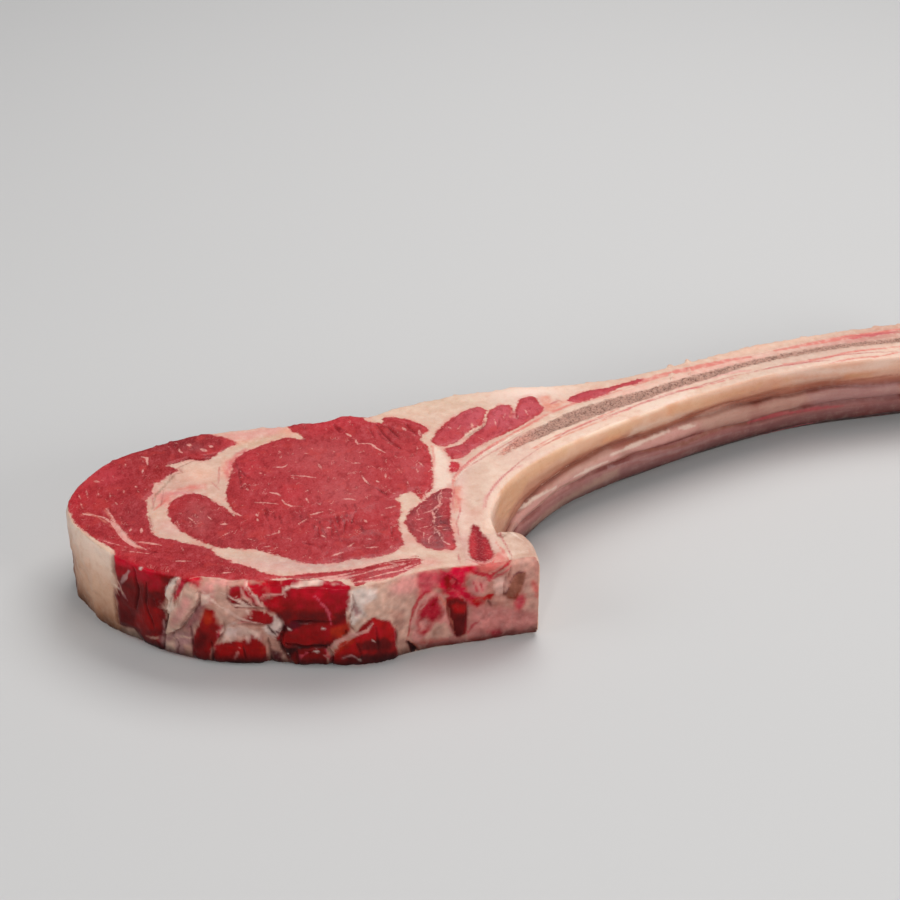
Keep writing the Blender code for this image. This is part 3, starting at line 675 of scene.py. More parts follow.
FAT_BLUSHES = (
    ((236, 150, 128), -34, 24, 5, 12, 0), ((232, 160, 140), -8, 56, 12, 7, 0),
    ((234, 170, 150), -30, 48, 14, 6, 20), ((226, 192, 168), 60, 82, 40, 14, 15),
    ((238, 206, 186), 108, 94, 36, 10, 8), ((226, 150, 140), -60, 2, 8, 12, 60),
    ((222, 150, 148), -52, 5, 12, 3, 0), ((238, 196, 170), -46, 20, 14, 14, 0),
    ((230, 196, 176), 60, 24, 5, 22, 0), ((228, 176, 160), 150, 92, 26, 6, 30),
    ((226, 166, 152), 200, 117, 60, 7, 27), ((220, 160, 146), 262, 142, 40, 7, 17),
    ((228, 186, 164), 220, 136, 60, 5, 25), ((238, 204, 180), 110, 47, 16, 6, 45),
    ((228, 190, 166), 180, 92, 60, 5, 32), ((214, 166, 146), 76, -8, 7, 18, 0),
    ((210, 176, 156), 76, 22, 8, 14, -30), ((226, 160, 144), 66.6, -22, 3, 12, 0),
    ((232, 196, 176), 84, -2, 6, 20, 0), ((226, 150, 138), 80, -47, 12, 4, 0),
    ((202, 160, 142), 98, -34, 9, 13, 0), ((228, 184, 166), -10, -50, 24, 6, -10),
    ((222, 172, 158), -54, -20, 8, 12, 40), ((216, 150, 136), 56, -46, 10, 5, 0),
)
# Where the light in the photo is dimmer or brighter, as its strength, place, size and turn
LEAN_LIGHT = (
    ((0.76, 0.7, 0.72), -66, 26, 40, 36, 0), ((0.86, 0.84, 0.84), -50, 48, 22, 14, 0),
    ((0.86, 0.78, 0.8), -74, -14, 34, 34, 0), ((0.86, 0.95, 0.93), -38, -10, 22, 34, 0),
    ((0.86, 0.88, 0.88), -30, -36, 40, 20, 0), ((0.84, 0.66, 0.7), 38, -32, 36, 20, 0),
    ((0.82, 0.74, 0.76), 59, -16, 16, 18, 0), ((1.07, 1.24, 1.16), 48, 44, 26, 16, 0),
    ((1.0, 0.6, 0.7), -98, 1, 8, 20, 0), ((0.93, 0.78, 0.82), 20, -48, 50, 10, 0),
    ((1.0, 0.78, 0.82), -46, -48, 34, 10, 0), ((1.18, 1.75, 1.7), 88, 72, 32, 22, 30),
    ((1.0, 1.14, 1.12), 8, 12, 70, 60, 0), ((0.72, 0.66, 0.68), -56, 46, 26, 14, 25),
    ((0.74, 0.66, 0.7), 60, -14, 16, 24, 0), ((0.86, 0.78, 0.82), -40, -50, 40, 9, -12),
    ((0.88, 0.82, 0.82), -70, 38, 20, 16, 0), ((1, 0.72, 0.82), 17, 59, 26, 8, 0),
    ((0.92, 0.8, 0.84), -25, -53, 22, 9, 0),
)
PALE_LIGHT = (
    ((0.9, 0.8, 0.83), -50, 10, 34, 40, 0), ((0.87, 0.82, 0.74), -22, 50, 28, 16, 0),
    ((0.9, 0.84, 0.88), -57, -29, 22, 20, 0), ((0.84, 0.74, 0.83), 10, -47, 60, 14, 0),
    ((0.97, 0.78, 0.84), 44, -29, 14, 13, 0), ((0.84, 0.68, 0.74), 78, -38, 17, 22, 0),
    ((0.94, 0.85, 0.92), 68, 10, 18, 50, 0), ((1.1, 1.18, 1.28), 100, 86, 36, 16, 0),
    ((0.8, 0.65, 0.65), 282, 150, 34, 14, 17), ((0.84, 0.8, 0.82), 250, 134, 60, 14, 22),
    ((0.92, 0.86, 0.88), 96, 40, 22, 22, 0), ((0.9, 0.9, 0.9), 62, 82, 26, 12, 0),
    ((0.88, 0.88, 0.88), 212, 109, 60, 14, 28), ((0.94, 0.82, 0.88), 67, -30, 12, 12, 0),
)
print("blushes:", len(LEAN_BLUSHES) + len(FAT_BLUSHES))

# %% [markdown]
# ## Drawn paint
# A few dozen hues are enough for the whole steak. Each drawn area names its hue, how soft its rim
# is in millimetres and its corners, and each drawn line its hue, its width and its points. Later
# ones cover earlier ones. On the cut face the points are seen from above, and on the two sides
# they are measured along the side and up from the board.

# %% Hues of wet and dry tissue, also used for painted shadow and painted glints
HUES = {
    "cream": (214, 178, 158), "white": (226, 208, 196), "tan": (200, 156, 138),
    "brown": (156, 112, 92), "peach": (220, 138, 118), "rose": (206, 90, 96),
    "pink": (220, 158, 148), "mauve": (182, 138, 134), "grey": (118, 72, 74),
    "scarlet": (190, 32, 34), "brick": (148, 28, 28), "crimson": (178, 20, 38),
    "wine": (150, 16, 34), "maroon": (108, 14, 24), "shadow": (62, 8, 16), "rust": (176, 54, 34),
    "blood": (206, 32, 58), "marrow": (184, 52, 58), "violet": (88, 16, 38),
    "honey": (216, 162, 124), "clay": (152, 90, 70), "plum": (160, 108, 106),
    "salmon": (216, 120, 110), "sand": (234, 206, 188), "ruby": (190, 50, 57),
    "dusky": (172, 76, 76),
}
HUES = {name: shade(*colour) for name, colour in HUES.items()}
print("hues:", len(HUES))

# %% The front side, as a hue, the softness of the rim and the corners of an area
FRONT_PATCHES = (
    ("cream", 1.5, (42, 43.5), (49, 43.5), (49, 32.5), (44.5, 24.5), (38.5, 21.5)),
    ("tan", 2, (38.5, 21.5), (44.5, 23.5), (47, 15), (47.5, 5.5), (41, -1), (35, -1)),
    ("brown", 1.5, (36, 6.5), (48.5, 5), (45, 0.5), (35, -2.5)),
    ("maroon", 0.8, (49, 41), (49, 34), (51, 28), (47.5, 23), (47.5, 7.5), (50, 6), (56.5, 6.5),
     (63, 0.5), (72, 1.5), (74, 12.5), (75.5, 35.5), (82.5, 42.5), (86, 40.5), (91.5, 40),
     (92.5, 46.5), (65.5, 45)),
    # The bright red band along the top rim: the meat's own red, brightened as painted light where
    # the rounded rim faces the lamps
    ("crimson", 1.2, (49, 42), (65.5, 44.5), (83.5, 45.5), (92.5, 44.5), (92, 39.5), (88.5, 40),
     (83.5, 43), (58.5, 38), (51, 37.5)),
    ("wine", 1.2, (49.5, 37), (74.5, 41.5), (75.5, 35.5), (74, 27.5), (66.5, 32), (50, 33)),
    ("maroon", 1.5, (56, 34), (66.5, 33), (67.5, 27.5), (60, 22), (55, 25.5)),
    ("maroon", 2.4, (48.5, 18), (53.5, 19.5), (57, 15), (57, 8), (50, 7), (47.5, 10)),
    ("brick", 1.5, (59.5, 16), (65.5, 24.5), (73, 25), (72.5, 15), (63.5, 7), (58.5, 9.5)),
    ("maroon", 1, (66.5, 32), (74.5, 33), (74.5, 26), (69, 23.5), (65, 25.5)),
    ("brick", 1, (61.5, 6), (71, 11.5), (71, 4), (63, 1.5)),
    ("cream", 0.7, (49, 4), (56, 7), (61.5, 1), (60, -0.5), (50.5, 2.5)),
    ("sand", 0.5, *SIDE_FLAPS[1]),
    ("marrow", 0.5, (83, 41.5), (85.5, 39.5), (80, 30), (79.5, 33.5)),
    ("mauve", 1.2, (72, 8.5), (78, 12.5), (87, 16.5), (87, 9), (85.5, 3), (73.5, 1.5), (71.5, 4)),
    ("cream", 1.1, (74, 6.5), (78, 9.5), (78.5, 5), (74.5, 2.5)),
    ("tan", 0.9, (82.5, 7.5), (86, 9.5), (85.5, 3.5), (83, 3)),
    ("plum", 1.3, (84.5, 23), (89, 30), (92, 32), (93.5, 29.5), (90.5, 21.5), (86.5, 16.5),
     (83, 15.5)),
    ("pink", 1, (92, 39.5), (96, 41.5), (104, 43), (104.5, 40), (97, 33), (92.5, 30.5),
     (91, 32.5)),
    ("pink", 0.8, (94.5, 41), (104, 43.5), (104.5, 41.5), (95, 39)),
    ("sand", 0.9, (91.5, 36.5), (96.5, 37), (95, 32.5), (92, 30.5)),
    ("brick", 0.7, (93.5, 28), (97, 27), (99.5, 22.5), (100, 18), (98.5, 13.5), (92.5, 4),
     (87, 4), (86.5, 9)),
    ("rust", 1.1, (92.5, 27.5), (96.5, 27), (97, 22.5), (94.5, 20.5), (92, 22.5)),
    ("maroon", 1.1, (90.5, 17), (94, 16), (92.5, 10), (87.5, 6), (87.5, 10)),
    ("wine", 0.8, (96, 21), (99, 20.5), (98, 15), (95.5, 13)),
    ("cream", 0.7, (101, 28), (103.5, 30.5), (106, 31), (105.5, 21.5), (102.5, 18.5), (94.5, 5),
     (100.5, 18.5), (100, 22.5)),
    ("cream", 1.4, (98.5, 41), (105, 41.5), (104, 33.5), (105, 30.5), (112.5, 28.5), (115, 22),
     (100.5, 21), (97.5, 25.5)),
    ("wine", 0.7, (105, 41), (109, 42), (109.5, 38), (109, 34), (105, 32.5), (103.5, 34.5)),
    ("crimson", 0.7, (109.5, 41.5), (115.5, 42.5), (123, 42), (126.5, 41), (126.5, 38),
     (121.5, 37.5), (115.5, 33.5), (110.5, 38)),
    ("scarlet", 0.8, (111.5, 45), (116.5, 47), (122.5, 47.5), (124.5, 45.5), (122.5, 43),
     (116, 42.5), (112.5, 43)),
    ("maroon", 0.7, (104.5, 32.5), (110, 34.5), (115, 33.5), (117.5, 30.5), (106.5, 29.5)),
    ("wine", 0.7, (113, 38.5), (117.5, 35), (118, 30.5), (115.5, 32), (112.5, 36)),
    ("wine", 0.7, (108, 24.5), (111, 27.5), (115.5, 29), (123, 25.5), (122, 23), (117, 22.5),
     (108.5, 23)),
    ("sand", 0.7, (100, 20), (102.5, 21.5), (112.5, 19.5), (115.5, 17.5), (117, 12), (112, 17),
     (110.5, 12.5), (109, 16), (107.5, 14), (106.5, 16.5), (103, 11.5), (102, 14), (100, 11.5),
     (98.5, 17.5)),
    ("white", 0.7, (102.5, 20.5), (106.5, 19.5), (106, 16.5), (102, 15.5), (100.5, 17.5)),
    ("white", 0.6, (117, 20.5), (121, 22.5), (122.5, 27), (126, 23), (125, 19), (120.5, 14.5)),
    ("crimson", 0.8, (96.5, 10), (99.5, 11.5), (103, 10.5), (105.5, 12.5), (111.5, 12),
     (114.5, 15), (117, 11.5), (118.5, 3.5), (117, 1.5), (95.5, -0.5)),
    ("rust", 1.1, (114, 14.5), (117, 11.5), (118, 6), (117.5, 2), (114.5, 3.5)),
    ("scarlet", 1, (98, 9), (108.5, 11.5), (112, 8.5), (108, 5), (102, 4), (98, 4.5)),
    ("maroon", 1, (99.5, 3), (117, 3.5), (117, 0.5), (102, 0)),
    ("tan", 0.8, (117.5, 16), (120.5, 14.5), (123, 11.5), (126, 1.5), (119, 1), (118, 10.5),
     (116.5, 13.5)),
    ("grey", 1, (119.5, 8.5), (124, 7), (126, 1), (119.5, 1)),
    ("wine", 0.8, (117.5, 33.5), (121, 37), (126, 37.5), (131.5, 41), (154, 42.5), (153.5, 32),
     (151, 25.5), (146.5, 21), (142.5, 20.5), (139, 22), (133, 22), (127, 20.5), (123, 28),
     (119.5, 29)),
    ("crimson", 1.4, (130, 40.5), (153, 41.5), (153, 37.5), (143, 36), (131, 36)),
    ("crimson", 1, (118, 33), (121.5, 36), (126, 36), (125, 31.5), (120, 30.5)),
    ("maroon", 1.5, (130.5, 28.5), (135.5, 31), (144, 30.5), (144.5, 23.5), (139, 23),
     (132, 24.5)),
    ("maroon", 1.2, (123.5, 28.5), (128.5, 31), (130.5, 26.5), (127, 22), (124, 25)),
    ("rust", 1.1, (148, 22.5), (153.5, 25), (153, 16.5), (149, 15.5), (147.5, 18.5)),
    ("violet", 0.8, (124, 19.5), (125.5, 22), (133, 25), (135.5, 24.5), (126, 17.5)),
    ("wine", 0.7, (124, 16), (128, 19), (144.5, 21), (146.5, 18), (143.5, 15.5), (127.5, 11.5),
     (124.5, 13)),
    ("shadow", 1.1, (124, 12), (127.5, 11), (133.5, 11.5), (144, 14.5), (146, 13.5),
     (143.5, 10), (137, 11), (132.5, 10), (127.5, 5.5), (125, 8.5)),
    ("brick", 0.6, (132, 8), (137, 10), (141.5, 9.5), (144, 2), (133, 1.5), (130.5, 4)),
    ("clay", 0.6, (127.5, 4), (131, 4.5), (131, 2), (127, 2)),
    ("tan", 0.6, (143.5, 8), (153, 17), (153, 13), (145.5, 6.5), (144.5, 1), (143.5, 2)),
    ("wine", 0.9, (145.5, 41.5), (154, 41), (154, 34.5), (148.5, 22.5), (145, 22)),
    ("maroon", 0.8, (147.5, 29), (152, 31.5), (152.5, 28.5), (150.5, 24), (147, 22.5)),
    ("rust", 0.9, (145, 22), (153, 22.5), (152.5, 19.5), (145, 15.5)),
    ("cream", 0.7, (154, 40), (157.5, 42), (166, 40.5), (175.5, 43), (191.5, 43), (193, 38.5),
     (181.5, 25), (179.5, 18.5), (178.5, 11.5), (179, 6.5), (184, -1), (173.5, 1.5),
     (172.5, 13), (170, 21.5), (163, 25), (156.5, 19.5), (154.5, 19.5), (153, 29)),
    ("white", 0.9, (154.5, 39.5), (159, 41), (165.5, 39.5), (165, 34.5), (159.5, 32.5),
     (159.5, 26.5), (154.5, 22.5), (153, 30)),
    ("mauve", 0.8, (155, 32), (157, 32), (158, 28), (156.5, 26), (155, 27.5)),
    ("pink", 1.8, (171, 38.5), (177, 41.5), (184, 40.5), (188, 37), (184, 32.5), (176.5, 33),
     (171.5, 35)),
    ("rose", 1.5, (184.5, 41), (190.5, 41), (193.5, 37.5), (191.5, 34), (186.5, 34.5)),
    ("tan", 1, (170.5, 25.5), (176.5, 24.5), (178, 17.5), (174, 12.5)),
    ("tan", 1, (173, 11.5), (179, 9.5), (179.5, -0.5), (174.5, 0.5)),
    ("brick", 0.5, (155.5, 19), (157, 21.5), (163, 25), (162.5, 21.5), (159.5, 19)),
    ("crimson", 0.7, (163, 25), (170, 21), (172, 17.5), (173, 3.5), (168.5, 2.5), (145.5, 4),
     (147, 10), (152.5, 15.5), (161.5, 20)),
    ("scarlet", 0.9, (163, 24.5), (171, 19.5), (172, 15), (170.5, 13.5), (169, 19.5), (164.5, 21)),
    ("maroon", 1.1, (156.5, 13.5), (162.5, 15), (167.5, 14.5), (171.5, 10.5), (170.5, 6),
     (157.5, 9.5)),
    ("rust", 0.8, (147, 9.5), (152.5, 15), (156.5, 16.5), (147, 5)),
    ("maroon", 1.4, (150.5, 7.5), (172.5, 5.5), (173, 1.5), (151, 3.5)),
    ("pink", 0.7, (180, 10), (184, 23.5), (187.5, 29), (190, 30.5), (193, 28), (195, 21.5),
     (199, 6.5), (198, 3), (191.5, 2), (184, 4), (181, 6)),
    ("marrow", 1.3, (183, 16), (184, 22), (186.5, 26), (189.5, 28), (192, 28), (194.5, 19),
     (192.5, 15), (189, 14.5), (188.5, 10), (185.5, 8.5), (183.5, 11.5)),
    ("wine", 0.7, (190, 27.5), (191, 26), (190.5, 22.5), (189, 23.5)),
    ("pink", 1.0, (184, 16), (187, 18), (188.5, 15), (187, 11.5), (184.5, 12)),
    ("cream", 0.7, (189.5, 12), (191.5, 14), (196, 13), (198.5, 6.5), (194, 4.5), (188, 4.5),
     (184.5, 6.5)),
    ("rose", 1.5, (183.5, 41), (193, 41), (193.5, 37), (191.5, 32.5), (187.5, 29.5), (183.5, 29)),
    ("cream", 1.2, (223, 41.5), (229, 45.5), (233, 41.5), (235.5, 19), (235.5, 2.5), (231, 3),
     (228.5, 14.5), (230.5, 35), (226, 36.5), (223.5, 34.5)),
    ("pink", 1.6, (205.5, 21.5), (233.5, 13.5), (235.5, 8.5), (234, 1), (208.5, 2), (204.5, 4.5)),
    ("blood", 1.2, (193, 40.5), (204, 42.5), (208, 42.5), (210.5, 40.5), (208, 38),
     (204.5, 38.5), (203.5, 31.5), (211.5, 21), (208.5, 19.5), (201.5, 25), (196.5, 26),
     (194, 31), (191.5, 32.5), (194, 37)),
    ("blood", 0.8, (198.5, 41.5), (204, 42), (203.5, 38.5), (199, 38.5)),
    ("wine", 0.8, (194.5, 38.5), (197, 38), (198, 30.5), (195.5, 30)),
    ("blood", 0.8, (198, 35.5), (202, 35), (202.5, 28), (198.5, 29)),
    ("pink", 1.0, (204.5, 30.5), (207, 34), (211.5, 33.5), (213.5, 30.5), (211.5, 26.5),
     (207.5, 26.5), (204.5, 28.5)),
    ("salmon", 1, (208, 42.5), (223, 43), (218, 38.5), (213, 36.5), (209.5, 38)),
    ("scarlet", 0.6, (206.5, 24), (216, 25.5), (214.5, 23), (208.5, 19.5)),
    ("sand", 0.7, (215.5, 33), (220.5, 34), (222, 30), (221, 25.5), (217.5, 25), (215.5, 28.5)),
    ("brown", 0.5, (222, 27.5), (224, 33), (226.5, 34.5), (230, 34), (229.5, 30.5),
     (225.5, 21.5), (222, 22), (220.5, 24)),
    ("rose", 1.2, (225.5, 22.5), (229.5, 23), (229.5, 18), (227, 14.5), (225, 18)),
    ("salmon", 1, (233, 28.5), (235, 26.5), (235, 20.5), (233.5, 21.5)),
    ("maroon", 0.7, (196, 25.5), (200, 25), (204, 22.5), (205, 18), (203, 6), (199, 5.5),
     (196.5, 15.5)),
    ("crimson", 1.0, (198, 23), (203.5, 21), (203.5, 17.5), (198.5, 18.5)),
    ("rose", 1.2, (213.5, 5.5), (218.5, 6.5), (220.5, 3.5), (216, 2)),
    ("pink", 1.2, (218.5, 16), (223.5, 14), (222, 8), (217, 9)),
    ("salmon", 1.2, (183.5, 7), (227.5, 0), (234, 1), (234, -1.5), (215, -1.5), (183.5, 3)),
    ("pink", 1.2, (198.5, 5.5), (204.5, 4.5), (205, 2), (183.5, 3.5)),
    ("cream", 0.5, *SIDE_FLAPS[0]),
    ("pink", 1.4, (86, 36), (88.5, 34), (87, 29), (83, 22), (79.5, 18), (78, 18), (79, 22),
     (83, 30)),
)
# The same with a width: folds, threads and rims, painted shadow in narrow gaps, and short white
# dots that are painted glints of wet meat
FRONT_LINES = (
    ("mauve", 2.0, (57, 37), (52.5, 29.5)), ("plum", 1.2, (50, 27), (53, 25), (55.5, 22)),
    ("sand", 1.8, (45, 25), (48.5, 26), (51, 25.5)), ("tan", 1.1, (64, 7), (66.5, 6.5), (70.5, 8)),
    ("white", 1, (82, 42), (76, 35), (76.5, 31.5)), ("pink", 0.8, (83, 41), (80.5, 34)),
    ("shadow", 1.4, (76.5, 23), (74, 12.5)), ("mauve", 0.8, (74, 20), (73, 10.5)),
    ("cream", 1, (78, 10), (82, 12), (86.5, 12.5)),
    ("grey", 1.2, (79.5, 10.5), (80.5, 7), (79.5, 3)), ("rose", 0.8, (100, 21), (97.5, 13.5)),
    ("white", 1, (101, 19), (103, 21.5), (105.5, 23)), ("white", 1.2, (63.5, 41), (64.5, 41.5)),
    ("tan", 1, (106.5, 25.5), (113, 28)), ("tan", 1, (105.5, 24), (113, 26)),
    ("pink", 0.9, (107, 22.5), (114, 24)), ("pink", 1.0, (110.5, 44), (111, 41), (113.5, 36)),
    ("pink", 1.0, (112.5, 41), (115.5, 33.5), (118, 30.5)),
    ("cream", 1.2, (110, 36), (115.5, 30.5), (118.5, 29)),
    ("pink", 0.9, (109, 41.5), (109.5, 38.5), (114, 32)),
    ("pink", 1.0, (117, 36), (119.5, 37.5), (126, 37.5)),
    ("cream", 1.2, (104, 32), (110, 30.5), (115.5, 31.5)),
    ("cream", 1.2, (105, 29), (108.5, 29.5), (112.5, 29)),
    ("cream", 1.2, (117.5, 33.5), (118.5, 28.5)),
    ("sand", 1.2, (126, 38), (127, 40), (130, 41.5), (143, 43), (151, 42.5)),
    ("pink", 0.9, (126.5, 40.5), (127.5, 38), (127, 36.5)),
    ("peach", 0.9, (124.5, 45.5), (126, 41)), ("white", 1.2, (121, 20.5), (124, 22)),
    ("white", 1, (120.5, 16), (121.5, 14.5)), ("shadow", 0.9, (119.5, 21.5), (122, 17)),
    ("violet", 0.8, (122.5, 19), (125, 16)), ("pink", 0.9, (107, 10), (104.5, 4)),
    ("rose", 1, (139.5, 38), (145, 29.5), (145.5, 23.5)),
    ("rose", 1, (131.5, 3), (132, 6.5), (135.5, 8.5)),
    ("rose", 0.9, (143, 10), (144.5, 6.5), (145, 2.5)), ("white", 1.2, (138.5, 9), (140, 9)),
    ("white", 1.1, (142.5, 7), (143.5, 6.5)), ("white", 0.9, (127, 7.5), (127.5, 7)),
    ("white", 0.9, (128, 21), (129, 20.5)), ("white", 1, (142, 21.5), (143, 20.5)),
    ("rust", 1, (146, 8.5), (149, 12.5), (153, 16)), ("cream", 1.2, (153, 30.5), (152, 27)),
    ("pink", 1.9, (144.5, 11), (152.5, 17.5), (160.5, 19.5), (162.5, 22.5)),
    ("mauve", 1, (150, 6), (153.5, 7), (156, 5.5)), ("white", 0.9, (156.5, 4.5), (157.5, 3.5)),
    ("white", 0.8, (162.5, 14), (163.5, 13)), ("marrow", 1, (172.5, 17), (173, 12), (172.5, 8.5)),
    ("pink", 0.8, (184.5, 22.5), (187, 25), (188, 28.5)),
    ("marrow", 1.6, (178.5, 10.5), (181, 22.5), (183, 27), (186.5, 31), (189.5, 31.5)),
    ("pink", 0.9, (179.5, 10.5), (180.5, 17), (182.5, 22.5), (185, 27), (188, 29.5)),
    ("pink", 1.6, (193, 28), (195.5, 20), (196.5, 13), (199, 6)),
    ("shadow", 2.2, (178.5, 7.5), (182.5, 0)), ("peach", 0.8, (178, 9.5), (181, 6), (184, 0.5)),
    ("rose", 0.7, (207, 32.5), (208.5, 28.5)), ("rose", 0.7, (210, 32.5), (211, 28)),
    ("crimson", 1.8, (204, 42), (207.5, 38), (214.5, 34.5), (223.5, 41.5)),
    ("rose", 1.2, (212.5, 35), (214, 32.5), (220.5, 36), (223, 38.5)),
    ("grey", 0.9, (221, 24), (224, 33), (226.5, 35), (229.5, 34)),
    ("clay", 0.8, (222, 22), (225.5, 21.5), (227.5, 26.5)),
    ("peach", 1.5, (193, 27), (195.5, 22), (198.5, 8.5)),
    ("rose", 1.2, (204.5, 6.5), (207, 11), (209.5, 12)),
    ("sand", 1.5, (93, 38.5), (100, 30), (108.5, 25), (117, 23)),
    ("sand", 1.3, (102.5, 31.5), (110, 31), (117.5, 31.5)),
    ("sand", 0.9, (107, 36.5), (110, 32), (112.5, 26)),
    ("sand", 0.9, (111.5, 42), (115, 36.5), (118, 30)),
    ("sand", 1.2, (101, 38), (107, 34.5), (113, 30.5)), ("tan", 0.9, (47, 33), (51, 29), (53, 25)),
    ("tan", 0.9, (47, 26), (51, 23)),
    # Pale lines along the two rims of the long flap: its thin edges, brightened as painted
    # highlights
    ("sand", 0.8, (91, 38), (91, 32.5), (85.5, 22), (80.5, 15.5), (75.5, 12)),
    ("sand", 0.8, (85, 39), (83, 33), (77.5, 23.5), (74.5, 13)),
)
# Painted shade, darker towards the board, by height; bloodier towards the knob by length; and the
# rind by height, in painted shade near the board and round the left end
LEAN_SHADE = ((0, 3, 7, 12, 20, 28, 36, 41.5), (0.08, 0.14, 0.46, 0.61, 0.7, 0.77, 0.94, 1.1))
PALE_SHADE = ((0, 3, 7, 12, 20, 28, 36, 41.5), (0.12, 0.2, 0.62, 0.7, 0.72, 0.76, 0.88, 1.0))
FRONT_STAIN = (
    (70, 92, 105, 118, 150, 165, 185, 210, 236),
    (1.0, 0.9, 0.8, 0.85, 0.95, 0.92, 0.8, 0.72, 0.72),
)
RIND_END_SHADE = ((9, 16, 24, 32, 38), (0.56, 0.62, 0.68, 0.79, 0.94))
RIND_SIDE = (
    (0, (78, 48, 36)), (3, (104, 72, 54)), (8, (158, 118, 94)), (15, (190, 150, 124)),
    (26, (206, 168, 144)), (35, (226, 196, 176)), (42, (232, 206, 188)),
)
print("drawn on the front side:", len(FRONT_PATCHES) + len(FRONT_LINES))

# %% The cut face, the same way
TOP_PALE_PATCHES = (
    ("salmon", 1.5, (-42, 8.5), (-48.5, 8), (-54.5, 6), (-57, 1.5), (-57, -6.5), (-58.5, 1.5),
     (-55.5, 8), (-49, 11), (-42.5, 12)),
    ("rose", 1.2, (-34.5, 22.5), (-33, 16), (-30, 35.5), (-24, 38.5), (-27.5, 40.5),
     (-31.5, 36), (-34.5, 29.5)),
    ("pink", 2, (-42, 52.5), (-27.5, 58), (-11.5, 60.5), (-14, 52.5), (-24.5, 49), (-33.5, 47.5)),
    ("tan", 1, (-44.5, -32.5), (-40, -31.5), (-33.5, -35.5), (-33, -38), (-39.5, -37)),
    ("sand", 0.8, (57.5, 43), (62, 37.5), (65, 30.5), (66, 13), (62.5, 8.5), (58.5, 8.5),
     (57, 35)),
    ("peach", 1.5, (66.5, 10.5), (70.5, 10.5), (70.5, 0), (68, -10.5), (66.5, -5)),
    ("cream", 2, (72.5, 21), (82.5, 29.5), (82, 10.5), (79, -5), (73, -7.5), (72, 8)),
    ("cream", 1, (86.5, -25), (92, -27), (97, -34.5), (97, -39), (91, -45), (85, -31)),
    ("brown", 0.6, (85.5, -23.5), (89, -27), (88, -28.5), (86, -27)),
    ("salmon", 1, (82.5, -41.5), (86, -38.5), (90.5, -45.5), (83.5, -44.5)),
    ("peach", 1.5, (107.5, 85.5), (111, 90), (113.5, 81), (120, 82.5), (112.5, 72), (108.5, 75)),
    ("sand", 1.5, (152.5, 78), (171.5, 90), (180.5, 93), (176.5, 85.5), (156.5, 72)),
)
TOP_PALE_LINES = (
    ("brown", 1, (-53, 22), (-56.5, 20), (-63.5, 2.5), (-63.5, -7.5)),
    ("salmon", 1.5, (-57.5, 1.5), (-62.5, -8.5)),
    ("rose", 1, (-42, 52.5), (-35.5, 49), (-31.5, 45.5)),
    ("salmon", 1.2, (57, 43), (58, 33.5), (57.5, 9)),
    ("salmon", 1.6, (66.5, 14.5), (69.5, 22.5), (74, 30.5), (85.5, 45.5), (104.5, 64.5)),
    ("sand", 1.2, (67.5, 16), (72, 24.5), (79.5, 35.5), (98, 56.5)),
    ("pink", 1.4, (79.5, -6.5), (81, 2.5), (89, 20), (99.5, 29.5)),
    ("salmon", 1.4, (66.5, 13), (67, 5), (69, 0), (69.5, -9)),
    ("salmon", 1.2, (84.5, -31), (90.5, -45.5)),
    ("sand", 1.0, (86.5, -22.5), (91.5, -24.5), (96, -30)),
    ("salmon", 1.8, (78.5, 37.5), (110, 70.5), (123, 81), (146, 93)),
    ("salmon", 1, (101.5, 40.5), (111, 50), (144.5, 76.5)),
    ("peach", 0.9, (103.5, 41.5), (128, 60.5), (144, 70.5)),
    ("salmon", 3.5, (152.5, 98), (163.5, 105.5), (199.5, 121.5), (211.5, 125.5)),
    ("rose", 1.1, (134.5, 65.5), (159, 84), (171.5, 91.5), (184, 96), (202.5, 105.5)),
    ("pink", 2.5, (135, 72), (184.5, 102.5), (201.5, 110.5), (210, 112)),
    ("salmon", 3.5, (224.5, 131.5), (264, 147), (290, 155)),
    ("rose", 1.4, (263.5, 144.5), (272.5, 148), (289.5, 152)),
    ("salmon", 1.8, (227, 118.5), (245.5, 123.5), (261.5, 131.5), (287, 138)),
    ("salmon", 1.3, (249.5, 120), (262, 125), (273, 127), (286, 132)),
    ("salmon", 2.6, (290, 155), (312, 160.5), (341, 166)), ("rose", 1.3, (300, 153), (318, 156.5)),
    ("salmon", 1.2, (287, 138), (305, 142), (322, 144)), ("salmon", 1.1, (300, 133), (330, 139.5)),
)
